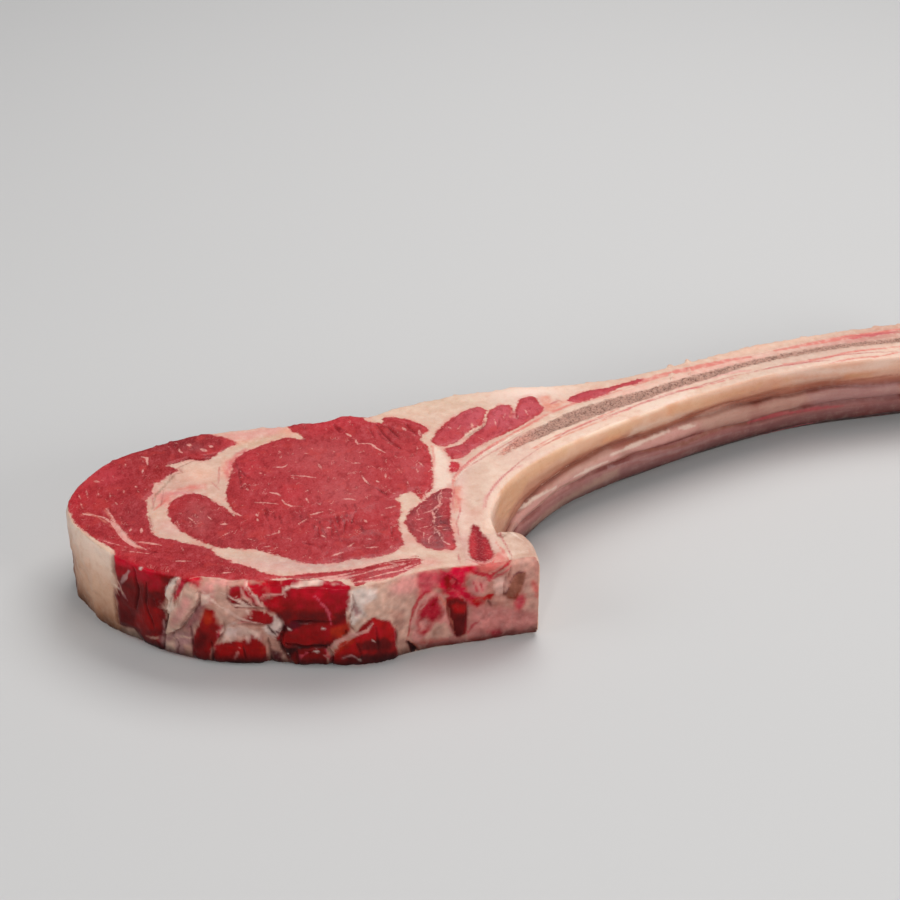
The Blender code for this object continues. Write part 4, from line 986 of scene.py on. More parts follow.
TOP_LEAN_PATCHES = (
    ("ruby", 1.5, (-100.5, -6.5), (-100.5, 2.5), (-97.5, 13), (-89.5, 28), (-87, 26.5),
     (-95, 10.5), (-98, 1.5), (-98, -9)),
    ("brick", 1.5, (-67, 26.5), (-61.5, 29.5), (-61, 21), (-64, 14.5), (-66, 6.5), (-68, 12)),
    ("marrow", 1, (-38, 49.5), (-31, 45.5), (-34.5, 42.5), (-37.5, 43)),
    ("maroon", 1, (-47, 32), (-42.5, 34), (-34.5, 42.5), (-35.5, 37.5), (-42.5, 31.5)),
    ("ruby", 2, (-30.5, 33.5), (-23.5, 39), (-19.5, 29.5), (-21.5, 17), (-27.5, 17)),
    ("dusky", 3, (-47.5, -2.5), (-41.5, -5), (-37, -20.5), (-39, -27.5), (-45.5, -23)),
    ("ruby", 1.5, (-8, 10.5), (-0.5, 10.5), (1.5, 2.5), (-4, -2.5), (-9, 4)),
    ("ruby", 1.5, (54, 46), (56.5, 40.5), (58, 16), (54.5, 2.5), (52, 5), (54, 16)),
    ("ruby", 1.5, (0.5, 63), (7, 61.5), (12.5, 69), (19, 70), (22, 67.5), (10.5, 54.5), (1.5, 50)),
    ("marrow", 2, (48, -13), (58, 0), (58, -31.5), (51, -30)),
    ("marrow", 1, (61.5, 5), (65, 7), (66, -13), (62.5, -15.5), (60, -10.5)),
    ("ruby", 0.8, (61.5, -25.5), (66, -24), (67.5, -36), (64.5, -36)),
    ("marrow", 1, (72, 47.5), (79.5, 56), (86, 57.5), (84, 50), (76.5, 44.5)),
    ("marrow", 1.2, (58.5, 49), (66, 57.5), (70.5, 54.5), (63, 44.5)),
    ("blood", 0.7, (65, 22.5), (65.5, 29.5), (68, 30.5), (70, 26.5), (68.5, 22), (66, 21)),
)
TOP_LEAN_LINES = (
    ("sand", 2.2, (-77.5, -19.5), (-71, -30), (-66.5, -35)),
    ("peach", 1, (-83.5, -9), (-77.5, -19.5)),
    ("peach", 1, (-93.5, -13), (-91, -11), (-85.5, -14.5), (-77, -23)),
    ("peach", 1, (-68, -34), (-63.5, -37.5)), ("salmon", 1, (-67.5, -31.5), (-56.5, -34)),
    ("rose", 0.8, (-86, -29), (-75.5, -34)), ("brick", 1.2, (-59, -39), (-37, -41)),
    ("marrow", 0.8, (-61.5, -42), (-43, -45)), ("brick", 1, (-55, -37), (-45, -38)),
    ("pink", 1.4, (-8, 54.5), (-1, 48)), ("maroon", 1, (-31, 30.5), (-29, 24), (-25.5, 18.5)),
    ("maroon", 0.8, (-28.5, 21), (-24.5, 19)), ("rose", 1, (33.5, 69), (48.5, 61.5), (54.5, 57)),
    ("brick", 1, (34.5, 65.5), (50, 56)), ("rose", 0.9, (35.5, 61.5), (50, 52.5)),
    ("brick", 1, (34, 60.5), (44, 51)), ("maroon", 1, (11.5, 63), (16, 55)),
    ("maroon", 1, (31.5, 58), (34, 50), (39.5, 43)), ("maroon", 0.9, (32.5, 8), (38.5, 2.5)),
    ("maroon", 0.8, (28, 13), (31.5, 7)), ("peach", 0.9, (75, 61.5), (75.5, 57.5)),
    ("peach", 0.9, (94, 73.5), (93, 67.5)), ("pink", 1, (95, 77), (95, 67)),
)
SPONGY_PATCHES = (
    ("marrow", 1, (73, -26), (75.5, -21.5), (76.5, -32), (76, -42.5), (73.5, -40.5)),
    ("ruby", 2, (80, -30), (84.5, -41.5), (81.5, -45.5), (80, -38)),
)
# Short dark gaps between fibres
FIBRE_GAPS = (
    ((10, -20.5), (11, -25.5)), ((12, -25.5), (13, -30)), ((11, -29), (12.5, -32.5)),
    ((16, -20.5), (17.5, -25.5)), ((18.5, -13), (20, -18.5)), ((20.5, -11.5), (22, -18)),
    ((22.5, -13), (23.5, -18.5)), ((17, -13), (18, -18)), ((24, -5), (25, -11.5)),
    ((20, -5), (21.5, -10.5)), ((27, -20.5), (28.5, -25.5)), ((18, -27.5), (19.5, -32.5)),
    ((20, -29), (21.5, -31.5)), ((14, -15.5), (15, -19.5)), ((-14, -7.5), (-12.5, -14)),
    ((-10.5, -11.5), (-9, -18)), ((-8, -13), (-6.5, -19)), ((1, -13), (2.5, -19)),
    ((3.5, -11.5), (5, -16.5)), ((7, -20.5), (8.5, -25.5)), ((9.5, -18), (11.5, -24)),
)
# Threads of fat, and small lobes of lean, fat and spongy bone that the solids leave out
THIN_FAT = (
    ((52.5, -2), (58, 8.5)), ((61.5, 6), (62, -2.5), (58, -13), (59, -20.5), (58.5, -25.5)),
    ((50, -23), (54, -25.5), (54.5, -31.5)), ((59, -21), (63, -20.5)),
    ((62.5, -25.5), (62.5, -31.5), (65, -34)), ((49, -13), (51.5, -16), (54, -14.5)),
    ((45, -15.5), (45, -21.5), (48.5, -29.5), (54, -37)),
    ((63, 43), (68, 45), (75, 55.5), (80.5, 60.5), (83, 75)),
)
MORE_LEAN = (
    TOP_LEAN_PATCHES[-1][2:],
    ((51, -5), (58.5, 5), (62.5, 5.5), (65, 8), (66, -25.5), (67.5, -31.5), (67.5, -36.5),
     (61, -37.5), (55.5, -36.5), (48.5, -26), (46, -18.5), (47.5, -11.5)),
    ((47.5, 16), (57.5, 16), (57.5, 9), (52.5, -1.5), (48.5, 7), (41.5, 0), (40.5, 5)),
    ((56.5, 48), (60, 57.5), (65, 66), (71.5, 73.5), (77, 77), (81, 76.5), (82, 73.5),
     (80, 61.5), (74.5, 56.5), (68.5, 46), (62, 42.5), (59, 44)),
    ((62.5, 40.5), (69.5, 42), (75, 53), (83, 62), (82, 70), (84.5, 75.5), (89.5, 79.5),
     (93.5, 79.5), (95, 73.5), (97.5, 84.5), (102, 87), (106, 86.5), (109, 75), (104.5, 67.5),
     (92, 54.5), (78, 44.5), (74, 37.5), (70.5, 33.5), (66, 31.5)),
)
MORE_FAT = (
    ((41, -0.5), (48.5, 6.5), (51, 2.5), (52.5, -2.5), (49, -6.5), (45.5, -15.5), (43.5, -11.5),
     (46.5, -5)),
    ((141, 91.5), (147, 96), (161.5, 103), (161, 93), (143.5, 84), (140.5, 85.5)),
    ((-57, 30.5), (-62, 27), (-55, 25.5)),
    ((-62, 10), (-65, 13), (-64.5, 6.5)),
    ((-64, 1.5), (-67, -0.5), (-65, -6.5)),
    ((-9, 56), (-5, 54.5), (-1, 49), (-3, 47.5), (-8, 51)),
    ((-33.5, -37), (-27.5, -38), (-29, -43), (-33, -41)),
    ((-28, -42), (-22, -47.5), (-24.5, -47.5)),
    ((-20, -48), (-12, -50), (-16, -51.5)),
    ((22.5, 69.5), (28, 67.5), (33.5, 68.5), (34.5, 63.5), (31.5, 62.5), (27.5, 64.5)),
)
MORE_SPONGY = (
    ((83, 33), (90, 42), (98, 52.5), (106.5, 60.5), (116.5, 69.5), (126, 76.5), (135.5, 82.5),
     (145.5, 87.5), (155, 92), (165, 97.5), (175, 102.5), (185.5, 107.5), (204, 116),
     (204, 113.5), (184.5, 101.5), (174.5, 96), (164.5, 89.5), (154.5, 83.5), (144.5, 77.5),
     (135, 71), (125, 64), (115.5, 58), (106.5, 51), (98, 43.5), (90, 35)),
)
print("drawn on the lean of the cut face:", len(TOP_LEAN_PATCHES) + len(TOP_LEAN_LINES))
print("drawn on its fat and bone:", len(TOP_PALE_PATCHES) + len(TOP_PALE_LINES))

# %% The inner side of the handle, the same way
HANDLE_PATCHES = (
    ("honey", 1.5, (27, 42), (45.5, 44), (60.5, 42), (74, 43), (80.5, 42), (76.5, 37.5),
     (63, 36.5), (36, 30.5)),
    ("honey", 1.5, (19.5, 38), (32.5, 41.5), (52, 36), (46.5, 30), (35, 24), (25.5, 28)),
    ("pink", 1.5, (40, 19), (56, 23.5), (109.5, 26.5), (110, 21.5), (66, 17), (53, 15),
     (44, 11.5)),
    ("tan", 1.5, (51, 7.5), (64, 11.5), (110, 16), (110.5, 11), (67.5, 7), (56.5, 4)),
    ("brown", 1.2, (56.5, 0), (70, 4.5), (86, 7), (110.5, 8.5), (110.5, 6.5), (90.5, 5),
     (73.5, 2), (62.5, -2)),
    ("honey", 1.5, (138.5, 40.5), (163, 38.5), (176.5, 38.5), (184, 37.5), (184.5, 34.5),
     (173, 35.5), (159.5, 34), (148, 35), (140, 36.5)),
    ("honey", 1.5, (101, 38.5), (114.5, 39.5), (120.5, 38.5), (115, 35.5), (103, 35)),
    ("cream", 1.5, (116.5, 36), (138, 36), (152, 33.5), (146, 32), (115, 31)),
    ("pink", 1.5, (112.5, 25.5), (142.5, 27.5), (156.5, 25.5), (153, 23), (122.5, 21)),
    ("tan", 2, (156, 28.5), (169.5, 30.5), (185.5, 26.5), (186, 18), (161, 19.5)),
    ("plum", 1.2, (112, 12.5), (148, 8.5), (187, 9), (187, 11), (167.5, 12), (146, 11), (110, 15)),
    ("sand", 1.5, (199, 43), (214.5, 42.5), (230, 38.5), (242.5, 38.5), (264.5, 41.5),
     (265, 38.5), (255, 34.5), (243, 34), (201, 39.5)),
    ("honey", 1, (202, 37.5), (205, 38.5), (208, 36.5), (206, 35.5)),
    ("honey", 1, (236, 34), (243, 34), (252.5, 31), (252, 29.5), (243, 31), (237, 32.5)),
    ("honey", 1, (184.5, 36.5), (190, 39.5), (193, 38), (188.5, 34.5)),
    ("cream", 1.5, (208, 36), (223.5, 35), (236, 32), (211, 32.5)),
    ("mauve", 2, (218, 25.5), (240, 27), (266.5, 26), (267.5, 16.5), (245, 17.5), (223.5, 17)),
    ("tan", 2, (191, 26), (204, 27), (216.5, 26), (214.5, 18.5), (197.5, 19)),
    ("plum", 1.5, (186.5, 14), (205.5, 13), (268, 14.5), (268.5, 11.5), (233, 11.5), (206, 10),
     (187, 11)),
)
# Clay and brown lines along the creases are painted shade, and sand lines along the upper roll are
# painted highlights
HANDLE_LINES = (
    ("clay", 1.2, (34, 20), (45, 26.5), (60, 29), (79, 27.5), (109.5, 29.5)),
    ("sand", 1.8, (44, 21.5), (56, 23.5), (69.5, 22.5)), ("sand", 1.8, (81, 23), (102, 23)),
    ("brown", 1.4, (46.5, 15.5), (72.5, 21), (85.5, 20), (110, 21.5)),
    ("plum", 1.4, (73, 7), (86, 9.5), (110.5, 11)),
    ("clay", 1.5, (97.5, 29.5), (109.5, 27.5), (152.5, 29.5), (167.5, 32), (175.5, 31.5),
     (185, 28.5)),
    ("sand", 1.8, (104, 25.5), (138.5, 27)), ("sand", 1.8, (144.5, 26.5), (153.5, 25.5)),
    ("clay", 1.7, (108, 21.5), (120.5, 21.5), (137.5, 17.5), (149.5, 16.5), (161, 18),
     (172.5, 18), (186.5, 16.5)),
    ("mauve", 1.5, (104, 18), (118, 17), (130.5, 14.5), (147.5, 13.5), (173, 14), (186.5, 12.5)),
    ("clay", 1.5, (185, 28.5), (190.5, 30), (204, 28), (216, 28.5), (224, 30), (240, 29),
     (266, 29.5)),
    ("rose", 2.2, (186, 17), (203.5, 17.5), (211, 16.5)), ("rose", 1.8, (211, 16.5), (238, 15.5)),
)
HANDLE_SHADE = ((0, 4, 8, 12, 18, 24), (0.16, 0.34, 0.62, 0.82, 0.95, 1.0))
FAR_HANDLE_SHADE = ((0, 4, 8, 12, 16, 20, 26, 32), (0.05, 0.1, 0.28, 0.52, 0.72, 0.82, 0.92, 1.0))
print("drawn on the handle's side:", len(HANDLE_PATCHES) + len(HANDLE_LINES))

# %% Creases and rolls of the handle
HANDLE_CREASE = (
    (84, 8), (93, 17.5), (99, 24), (106, 26.4), (120, 28.4), (136, 29.4), (170, 28.6), (220, 28),
    (250, 27), (275, 25.5), (340, 24),
)
HANDLE_LOW_CREASE = (
    (84, 7), (96, 13), (110, 17.4), (134, 19.6), (150, 20), (172, 18.6), (194, 19), (214, 17.4),
    (254, 18), (340, 16),
)
# The rib's face from the crease, 0, to the sawn edge, 1: tan and orange, darker into the crease as
# painted shade
SIDE_OF_RIB = (
    (0.0, (134, 74, 58)), (0.1, (162, 98, 78)), (0.3, (188, 130, 104)), (0.55, (208, 152, 124)),
    (0.8, (224, 170, 140)), (0.95, (236, 194, 168)), (1.05, (244, 214, 196)),
)
HANDLE_EDGE = (
    (85, -20), (83.6, -12), (84.8, -3), (88, 7), (93, 17), (100, 26.5), (110, 36.5), (120, 46),
    (140, 62), (160, 74.5), (180, 87), (200, 98), (220, 108), (240, 116), (260, 121.5), (280, 126),
    (312, 133), (344, 139.5),
)
HANDLE_CURVE, HANDLE_LENGTH = along_curve(HANDLE_EDGE, 0.5)
# From the lower crease, 0, to the rib, 1, and from the board, 0, to the lower crease, 1; each roll
# is lighter along its middle and darker into the creases and towards the board, as painted light
# and shade
UPPER_ROLL = (
    (0.0, (122, 58, 52)), (0.14, (156, 96, 88)), (0.4, (184, 130, 118)), (0.7, (196, 146, 130)),
    (0.9, (164, 106, 92)), (1.0, (112, 56, 44)),
)
LOWER_ROLL = (
    (0.0, (84, 44, 42)), (0.3, (124, 70, 68)), (0.6, (162, 104, 100)), (0.86, (178, 118, 112)),
    (1.0, (124, 60, 54)),
)


def ramp(value, stops):
    places = [place for place, colour in stops]
    colours = np.array([shade(*colour) for place, colour in stops])
    return np.column_stack([np.interp(value, places, channel) for channel in colours.T])


print("the crease under the rib is", np.interp(150, *zip(*HANDLE_CREASE)), "mm high at mid length")

# %% [markdown]
# ## Reading and shaping a skin
# This step takes all the corners of one skin, works out what tissue they lie in, moves them for
# the relief that a light from the side shows, and stores the numbers for the materials. The
# relief is the same on two overlapping skins, because it too depends only on the place.

# %% One skin's corners
def corners_of(skin):
    place = np.empty(len(skin.data.vertices) * 3)
    skin.data.vertices.foreach_get("co", place)
    normal = np.empty(len(skin.data.vertices) * 3)
    skin.data.vertex_normals.foreach_get("vector", normal)
    return place.reshape(-1, 3) / MM + PLAN_SHIFT, normal.reshape(-1, 3)


# What a gap says away from the rim, and how many corners are measured in one go
NOT_NEAR = 99.0
AT_ONCE = 4000


def along_rim(plan, curve, lengths):
    """How far along a rim each corner is, how far from it and behind it, and which way is in."""
    length = np.zeros(len(plan))
    gap, behind = np.full(len(plan), NOT_NEAR), np.full(len(plan), NOT_NEAR)
    inward = np.zeros((len(plan), 2))
    tangent = np.gradient(curve, axis=0)
    tangent /= np.linalg.norm(tangent, axis=1)[:, None]
    low, high = curve.min(0) - RIM_REACH, curve.max(0) + RIM_REACH
    near = np.nonzero(np.all((plan[:, :2] > low) & (plan[:, :2] < high), axis=1))[0]
    for part in np.array_split(near, len(near) // AT_ONCE + 1):
        away = plan[part, None, :2] - curve[None]
        nearest = np.linalg.norm(away, axis=2).argmin(axis=1)
        away = away[np.arange(len(part)), nearest]
        inward[part] = np.column_stack([-tangent[nearest, 1], tangent[nearest, 0]])
        length[part], gap[part] = lengths[nearest], np.linalg.norm(away, axis=1)
        behind[part] = np.sum(away * inward[part], axis=1)
    return length, gap, behind, inward


def rounded(place, rim, radius, bottom_radius):
    """Pulls the sharp corners above and below a wall onto quarter circles."""
    gap, behind, inward = rim[1:]
    for height, size, sign in ((TOP - place[:, 2], radius, -1), (place[:, 2], bottom_radius, 1)):
        deep, low = size - np.maximum(behind, 0), size - height
        reach = np.hypot(deep, low)
        cut = (deep > 0) & (low > 0) & (reach > size) & (gap < RIM_REACH)
        pull = np.where(cut, 1 - size / np.maximum(reach, 1e-6), 0)
        place[:, :2] += inward * (deep * pull)[:, None]
        place[:, 2] += sign * low * pull


def keep(skin, name, values):
    """Stores one number or one colour for each corner of the skin."""
    if values.ndim == 2:
        layer = skin.data.attributes.new(name, "FLOAT_COLOR", "POINT")
        full = np.column_stack([values, np.ones(len(values))])
        layer.data.foreach_set("color", full.astype(np.float32).ravel())
    else:
        layer = skin.data.attributes.new(name, "FLOAT", "POINT")
        layer.data.foreach_set("value", values.astype(np.float32))


# %% How deep in each tissue a corner lies
# What a depth says where nothing is near, and where the front side meets the knob's corner
NONE_NEAR = -4.0
SIDE_END = 235.5
# Places along the front side, and how far its torn skin laps over the rim of the cut there
TORN_RIM = ((84, 90, 150, 156), (0, 3.4, 3.4, 0))
HANDLE_START = 84


def shares_of_sides(plan, normal, length, gap):
    """How upright each corner's place is, and how much of it is front side, from 0 to 1."""
    upright = smoothstep(0.9, 0.6, np.abs(normal[:, 2]))
    rim = np.interp(length, *TORN_RIM) + 1.2 * unevenness(plan, 5, 16)
    torn = (length > TORN_RIM[0][0]) * (length < TORN_RIM[0][-1])
    upright = np.maximum(upright, smoothstep(rim + 0.6, rim - 0.6, gap) * torn)
    return upright, upright * (gap < 5) * (length < SIDE_END)


def depths_in_cut(plan, front):
    """Millimetres inside each tissue of the cut face and inside its flecks, creases and lines."""
    flat, on_rib = plan[:, :2], plan[:, 1] > 20
    found = {name: read_map(name, plan) for name in MAPS}
    found["lean"] = np.maximum(found["lean"], areas(flat, MORE_LEAN))
    found["lean"] = np.minimum(found["lean"], -areas(flat, MORE_FAT))
    thin_fat = strokes(flat, [(0.9, *line) for line in THIN_FAT])
    found["fleck"] = np.max([strokes(flat, FLECKS), strokes(flat, FRONT_STRANDS), thin_fat], axis=0)
    thinner = 0.14 * smoothstep(-1, 1, found["inner"]) + 0.12 * smoothstep(-40, -60, plan[:, 0])
    found["fleck"] -= thinner
    found["crease"], found["red"] = strokes(flat, CREASES), strokes(flat, RED_LINES)
    found["flap"] = np.full(len(plan), NONE_NEAR)
    found["spongy"] = np.maximum(found["marrow"], found["core"])
    found["spongy"] = np.maximum(found["spongy"], np.minimum(areas(flat, MORE_SPONGY), 1.5))
    fading = smoothstep(102, 86, plan[:, 0]) * on_rib
    receding = fading * (1.2 + 0.8 * unevenness(plan, 3.2, 32))
    found["spongy"] += 0.5 * unevenness(plan, 2.4, 31) - receding
    in_core = 0.3 * (found["core"] > -2) * (1 - front)
    found["porous"] = 0.15 + smoothstep(70, 100, plan[:, 0]) * on_rib + in_core
    return found


def depths_on_front(side):
    """The same for points on the unrolled front side, as far as it changes them."""
    none = np.full(len(side), NONE_NEAR)
    return {"lean": areas(side, SIDE_LEAN), "flap": areas(side, SIDE_FLAPS), "red": none,
            "spongy": areas(side, SIDE_SPONGY), "crease": strokes(side, SIDE_CREASES),
            "fleck": none}


def lean_behind(plan, normal, rind):
    """Behind, each tissue runs straight down from the far rim, under soft patches of fat."""
    inside = plan - 3 * normal * (1, 1, 0)
    patches = 4.5 * smoothstep(-0.3, 0.8, unevenness(plan, 12, 35))
    return read_map("lean", inside) - patches - 6 * rind


print("stored for the materials:", len(MAPS), "tissues and 4 kinds of strokes")

# %% Tints of the cut face
def tints_of_cut(plan, found, ragged):
    """The base colours of lean meat, of fat and bone, and of spongy bone."""
    flat = plan[:, :2]
    lean = np.tile(LEAN, (len(plan), 1))
    lean = tint(lean, 0.5 + 0.5 * unevenness(plan, 14, 1), shade(166, 44, 50))
    lean = tint(lean, smoothstep(-1, 2, found["inner"]), shade(146, 60, 62))
    lean = tint(lean, smoothstep(-1, 2, found["between_ribs"]), shade(184, 66, 74))
    pale = np.tile(FAT, (len(plan), 1))
    pale = tint(pale, 0.5 + 0.5 * unevenness(plan, 9, 2), shade(220, 182, 160))
    pale = tint(pale, smoothstep(-1, 1.5, found["bone"]), BONE)
    pale = tint(pale, smoothstep(-1, 3, found["knob"]), shade(198, 158, 138))
    for colour, *oval in LEAN_BLUSHES:
        lean = tint(lean, 0.8 * spot(plan, *oval), shade(*colour))
    for colour, *oval in FAT_BLUSHES:
        pale = tint(pale, 0.85 * spot(plan, *oval), shade(*colour))
    # Painted light and shade over the cut face
    for base, lights in ((lean, LEAN_LIGHT), (pale, PALE_LIGHT)):
        for light, *oval in lights:
            base *= 1 + spot(plan, *oval)[:, None] * (np.array(light) - 1)
    spongy = np.tile(shade(174, 134, 118), (len(plan), 1))
    spongy = tint(spongy, smoothstep(110, 92, plan[:, 0]) * 0.85, shade(206, 138, 122))
    spongy *= (1 + 0.25 * unevenness(plan, 1.6, 33))[:, None]
    spongy = tint(spongy, smoothstep(-4, -2, found["core"]), shade(200, 104, 100))
    spongy = tint(spongy, smoothstep(-1.4, 0.6, found["core"]), shade(146, 36, 44))
    gaps = [("maroon", 0.8, *line) for line in FIBRE_GAPS]
    painted(flat, lean, TOP_LEAN_PATCHES, TOP_LEAN_LINES, ragged, 0.6)
    painted(flat, lean, (), gaps, ragged, 0.7)
    painted(flat, pale, TOP_PALE_PATCHES, TOP_PALE_LINES, ragged, 0.85)
    painted(flat, spongy, SPONGY_PATCHES, (), ragged)
    return lean, pale, spongy


print("blushes and lights:", len(LEAN_BLUSHES + FAT_BLUSHES + LEAN_LIGHT + PALE_LIGHT))

# %% Tints of the front side and the rind
# How much the painted shade of lean meat on the front side is lifted, in red, green and blue
RED_LIFT = (0.05, 0.12, 0.34)


def rind_colours(plan, length):
    """The dry outer fat, under painted shade: darker and browner near the board, and most of all
    round the left end.
    """
    height = plan[:, 2]
    colours = ramp(height + 1.5 * unevenness(plan, 9, 27), RIND_SIDE)
    colours *= np.interp(length, (0, 20, 34, 48), (0.8, 0.95, 1.08, 0.98))[:, None]
    turned = 1 - (1 - np.interp(height, *RIND_END_SHADE)) * smoothstep(24, 2, length)
    return colours * np.column_stack([turned ** power for power in (0.9, 1.2, 1.25)])


def front_colours(plan, side, length, lean, ragged):
    """The drawn areas and lines, under painted shade that darkens them towards the board, and under
    a wet film.
    """
    drawn = np.tile(HUES["tan"], (len(plan), 1))
    drawn = tint(drawn, smoothstep(-0.5, 0.5, lean), HUES["wine"])
    painted(side, drawn, FRONT_PATCHES, (), ragged)
    painted(side, drawn, (), FRONT_LINES, ragged, 0.9)
    clouds = 0.26 * unevenness(plan, 2.6, 25)
    drawn *= (1 + clouds + 0.14 * unevenness(plan, 1.1, 26))[:, None]
    paleness = smoothstep(0.06, 0.22, drawn[:, 1] / drawn[:, 0])
    light = np.interp(plan[:, 2], *PALE_SHADE) * paleness
    drawn *= (light + np.interp(plan[:, 2], *LEAN_SHADE) * (1 - paleness))[:, None]
    drawn *= 1 + (1 - paleness)[:, None] * RED_LIFT
    stain = np.interp(length, *FRONT_STAIN)
    drawn *= np.column_stack([stain ** power for power in (0.2, 1, 0.9)])
    is_rind = smoothstep(50, 46.5, length + 2.0 * ragged)
    drawn = tint(drawn, is_rind, rind_colours(plan, length))
    return np.clip(WET_GAIN * drawn - WET_VEIL, 0.0015, 1)


def tint_behind(lean, pale, plan, length, behind, rind, round_end):
    """Dull patches on the far side, and the rind that thins out a little way round the end, where
    its painted shade gives way to a paler cream.
    """
    patchy = smoothstep(-0.2, 0.8, unevenness(plan, 10, 37)) * behind
    paler = 0.75 * smoothstep(3, 20, round_end)
    paler_rind = tint(rind_colours(plan, length), paler, shade(206, 164, 140))
    pale = tint(pale, 0.5 * patchy, shade(196, 140, 124))
    return tint(lean, 0.8 * patchy, shade(124, 30, 36)), tint(pale, rind, paler_rind)


print("the rind's height marks:", [height for height, colour in RIND_SIDE])

# %% Tints and rolls of the handle
# Where the sawn end begins, how deep its marrow is, and between which heights of the drawing the
# knob's back turns into the handle
END_FACE = 330
END_MARROW = 9
KNOB_BACK = (-19, -15)
CREASE_WIDTH = 0.8


def creases_at(plan):
    """Heights of the crease under the rib and of the one between the two rolls of flesh."""
    slow = plan * (0.1, 0.1, 0)
    upper = np.interp(plan[:, 0], *zip(*HANDLE_CREASE)) + 0.7 * unevenness(slow, 1, 3)
    return upper, np.interp(plan[:, 0], *zip(*HANDLE_LOW_CREASE)) + 1.3 * unevenness(slow, 1, 12)


def rib_colours(plan, above, crease, wobble):
    """The rib's own face, from the crease up to the sawn edge, darker into the crease as painted
    shade.
    """
    colours = ramp(above / (42 - crease) + 0.07 * wobble, SIDE_OF_RIB)
    mask = smoothstep(200, 290, plan[:, 0]) * smoothstep(2, 7, above) * 0.6
    colours = tint(colours, mask, shade(234, 190, 166))
    mask = 0.6 * smoothstep(0.15, 0.9, unevenness(plan, 9, 14)) * smoothstep(2, 5, above)
    colours = tint(colours, mask, shade(214, 142, 100))
    mask = 0.35 * smoothstep(0.1, 0.9, unevenness(plan, 8, 34)) * smoothstep(4, 8, above)
    return tint(colours, mask, shade(236, 200, 174))


def roll_colours(plan, normal, rise, low_rise, lower, wobble):
    """The two rolls of flesh under the rib, with painted light along each roll and painted shade in
    the creases.
    """
    colours = ramp(rise + 0.1 * wobble, UPPER_ROLL)
    colours = np.where(lower[:, None], ramp(low_rise + 0.08 * wobble, LOWER_ROLL), colours)
    mask = 0.4 * smoothstep(0.25, 0.8, unevenness(plan * (0.25, 0.25, 1), 5, 15))
    colours = tint(colours, mask, shade(170, 84, 78))
    return tint(colours, (normal[:, 2] < -0.5) * 0.6, shade(168, 112, 102))


def handle_light(plan, outer):
    """Painted light and shade, as gains for the three colours: dimmer low on the inner side, less
    so on the outer, and brighter or dimmer along the handle.
    """
    far = smoothstep(98, 122, plan[:, 0])
    dimmed = np.interp(plan[:, 2], *HANDLE_SHADE) * (1 - far)
    dimmed += np.interp(plan[:, 2], *FAR_HANDLE_SHADE) * far
    gain = np.interp(plan[:, 0], (90, 130, 160, 210), (1.0, 1.2, 1.1, 0.86))
    dimmed = 1 - (1 - dimmed) * (1 - 0.8 * outer)
    return dimmed[:, None], np.column_stack([gain ** 0.6, gain, gain])


def add_handle(plan, normal, front, ragged, found, pale):
    """Adds the handle's sides to the depths that were found, and to the colour of fat and bone."""
    along, height, up = plan[:, 0], plan[:, 2], normal[:, 2]
    crease, low_crease = creases_at(plan)
    outer = smoothstep(0.1, 0.6, normal[:, 1])
    above = height - crease + 16 * outer * smoothstep(150, 96, along)
    sawn_end = smoothstep(0.3, 0.6, normal[:, 0]) * (along > END_FACE)
    outer = np.maximum(outer, sawn_end)
    short_marrow = np.minimum(found["spongy"], height - TOP + END_MARROW)
    found["spongy"] = np.where(sawn_end > 0.5, short_marrow, found["spongy"])
    rise = np.clip((height - low_crease) / (crease - low_crease), 0, 1)
    low_rise = np.clip(height / low_crease, 0, 1)
    lower = height < low_crease
    wobble = unevenness(plan * (0.12, 0.12, 1), 2.6, 13)
    past_knob = smoothstep(*KNOB_BACK, plan[:, 1])
    side = (1 - front) * smoothstep(0.97, 0.75, np.abs(up)) * (found["bone"] > -FAR)
    side *= smoothstep(82, 86, along) * (normal[:, 1] < 0.5) * past_knob
    under = smoothstep(92, 100, along) * smoothstep(1, -1, above) * past_knob
    inner = tint(rib_colours(plan, above, crease, wobble), smoothstep(1, -1, above),
                 roll_colours(plan, normal, rise, low_rise, lower, wobble))
    wall = side > 0
    if wall.any():
        drawn = inner[wall]
        length = along_rim(plan[wall], HANDLE_CURVE, HANDLE_LENGTH)[0]
        places = np.column_stack([length, height[wall]])
        painted(places, drawn, HANDLE_PATCHES, HANDLE_LINES, ragged[wall], 0.65)
        inner[wall] = drawn
    for light in handle_light(plan, outer):
        inner *= light
    rolls = np.where(lower, np.sin(np.pi * low_rise), np.sin(np.pi * rise)) ** 0.5 * (above < 0)
    grooves = 1.2 * np.exp(-(above / CREASE_WIDTH) ** 2)
    grooves += 0.9 * np.exp(-((height - low_crease) / CREASE_WIDTH) ** 2)
    found["rolls"] = rolls - grooves
    no_lean = (under > 0.5) & (side + (up < -0.5) > 0.5)
    found["lean"] = np.where(no_lean, NONE_NEAR, found["lean"])
    found["handle"] = np.maximum(side, under * (np.abs(up) < 0.9))
    return tint(pale, np.maximum(under, side), inner)


print("the marrow goes down the sawn end by", END_MARROW, "mm")

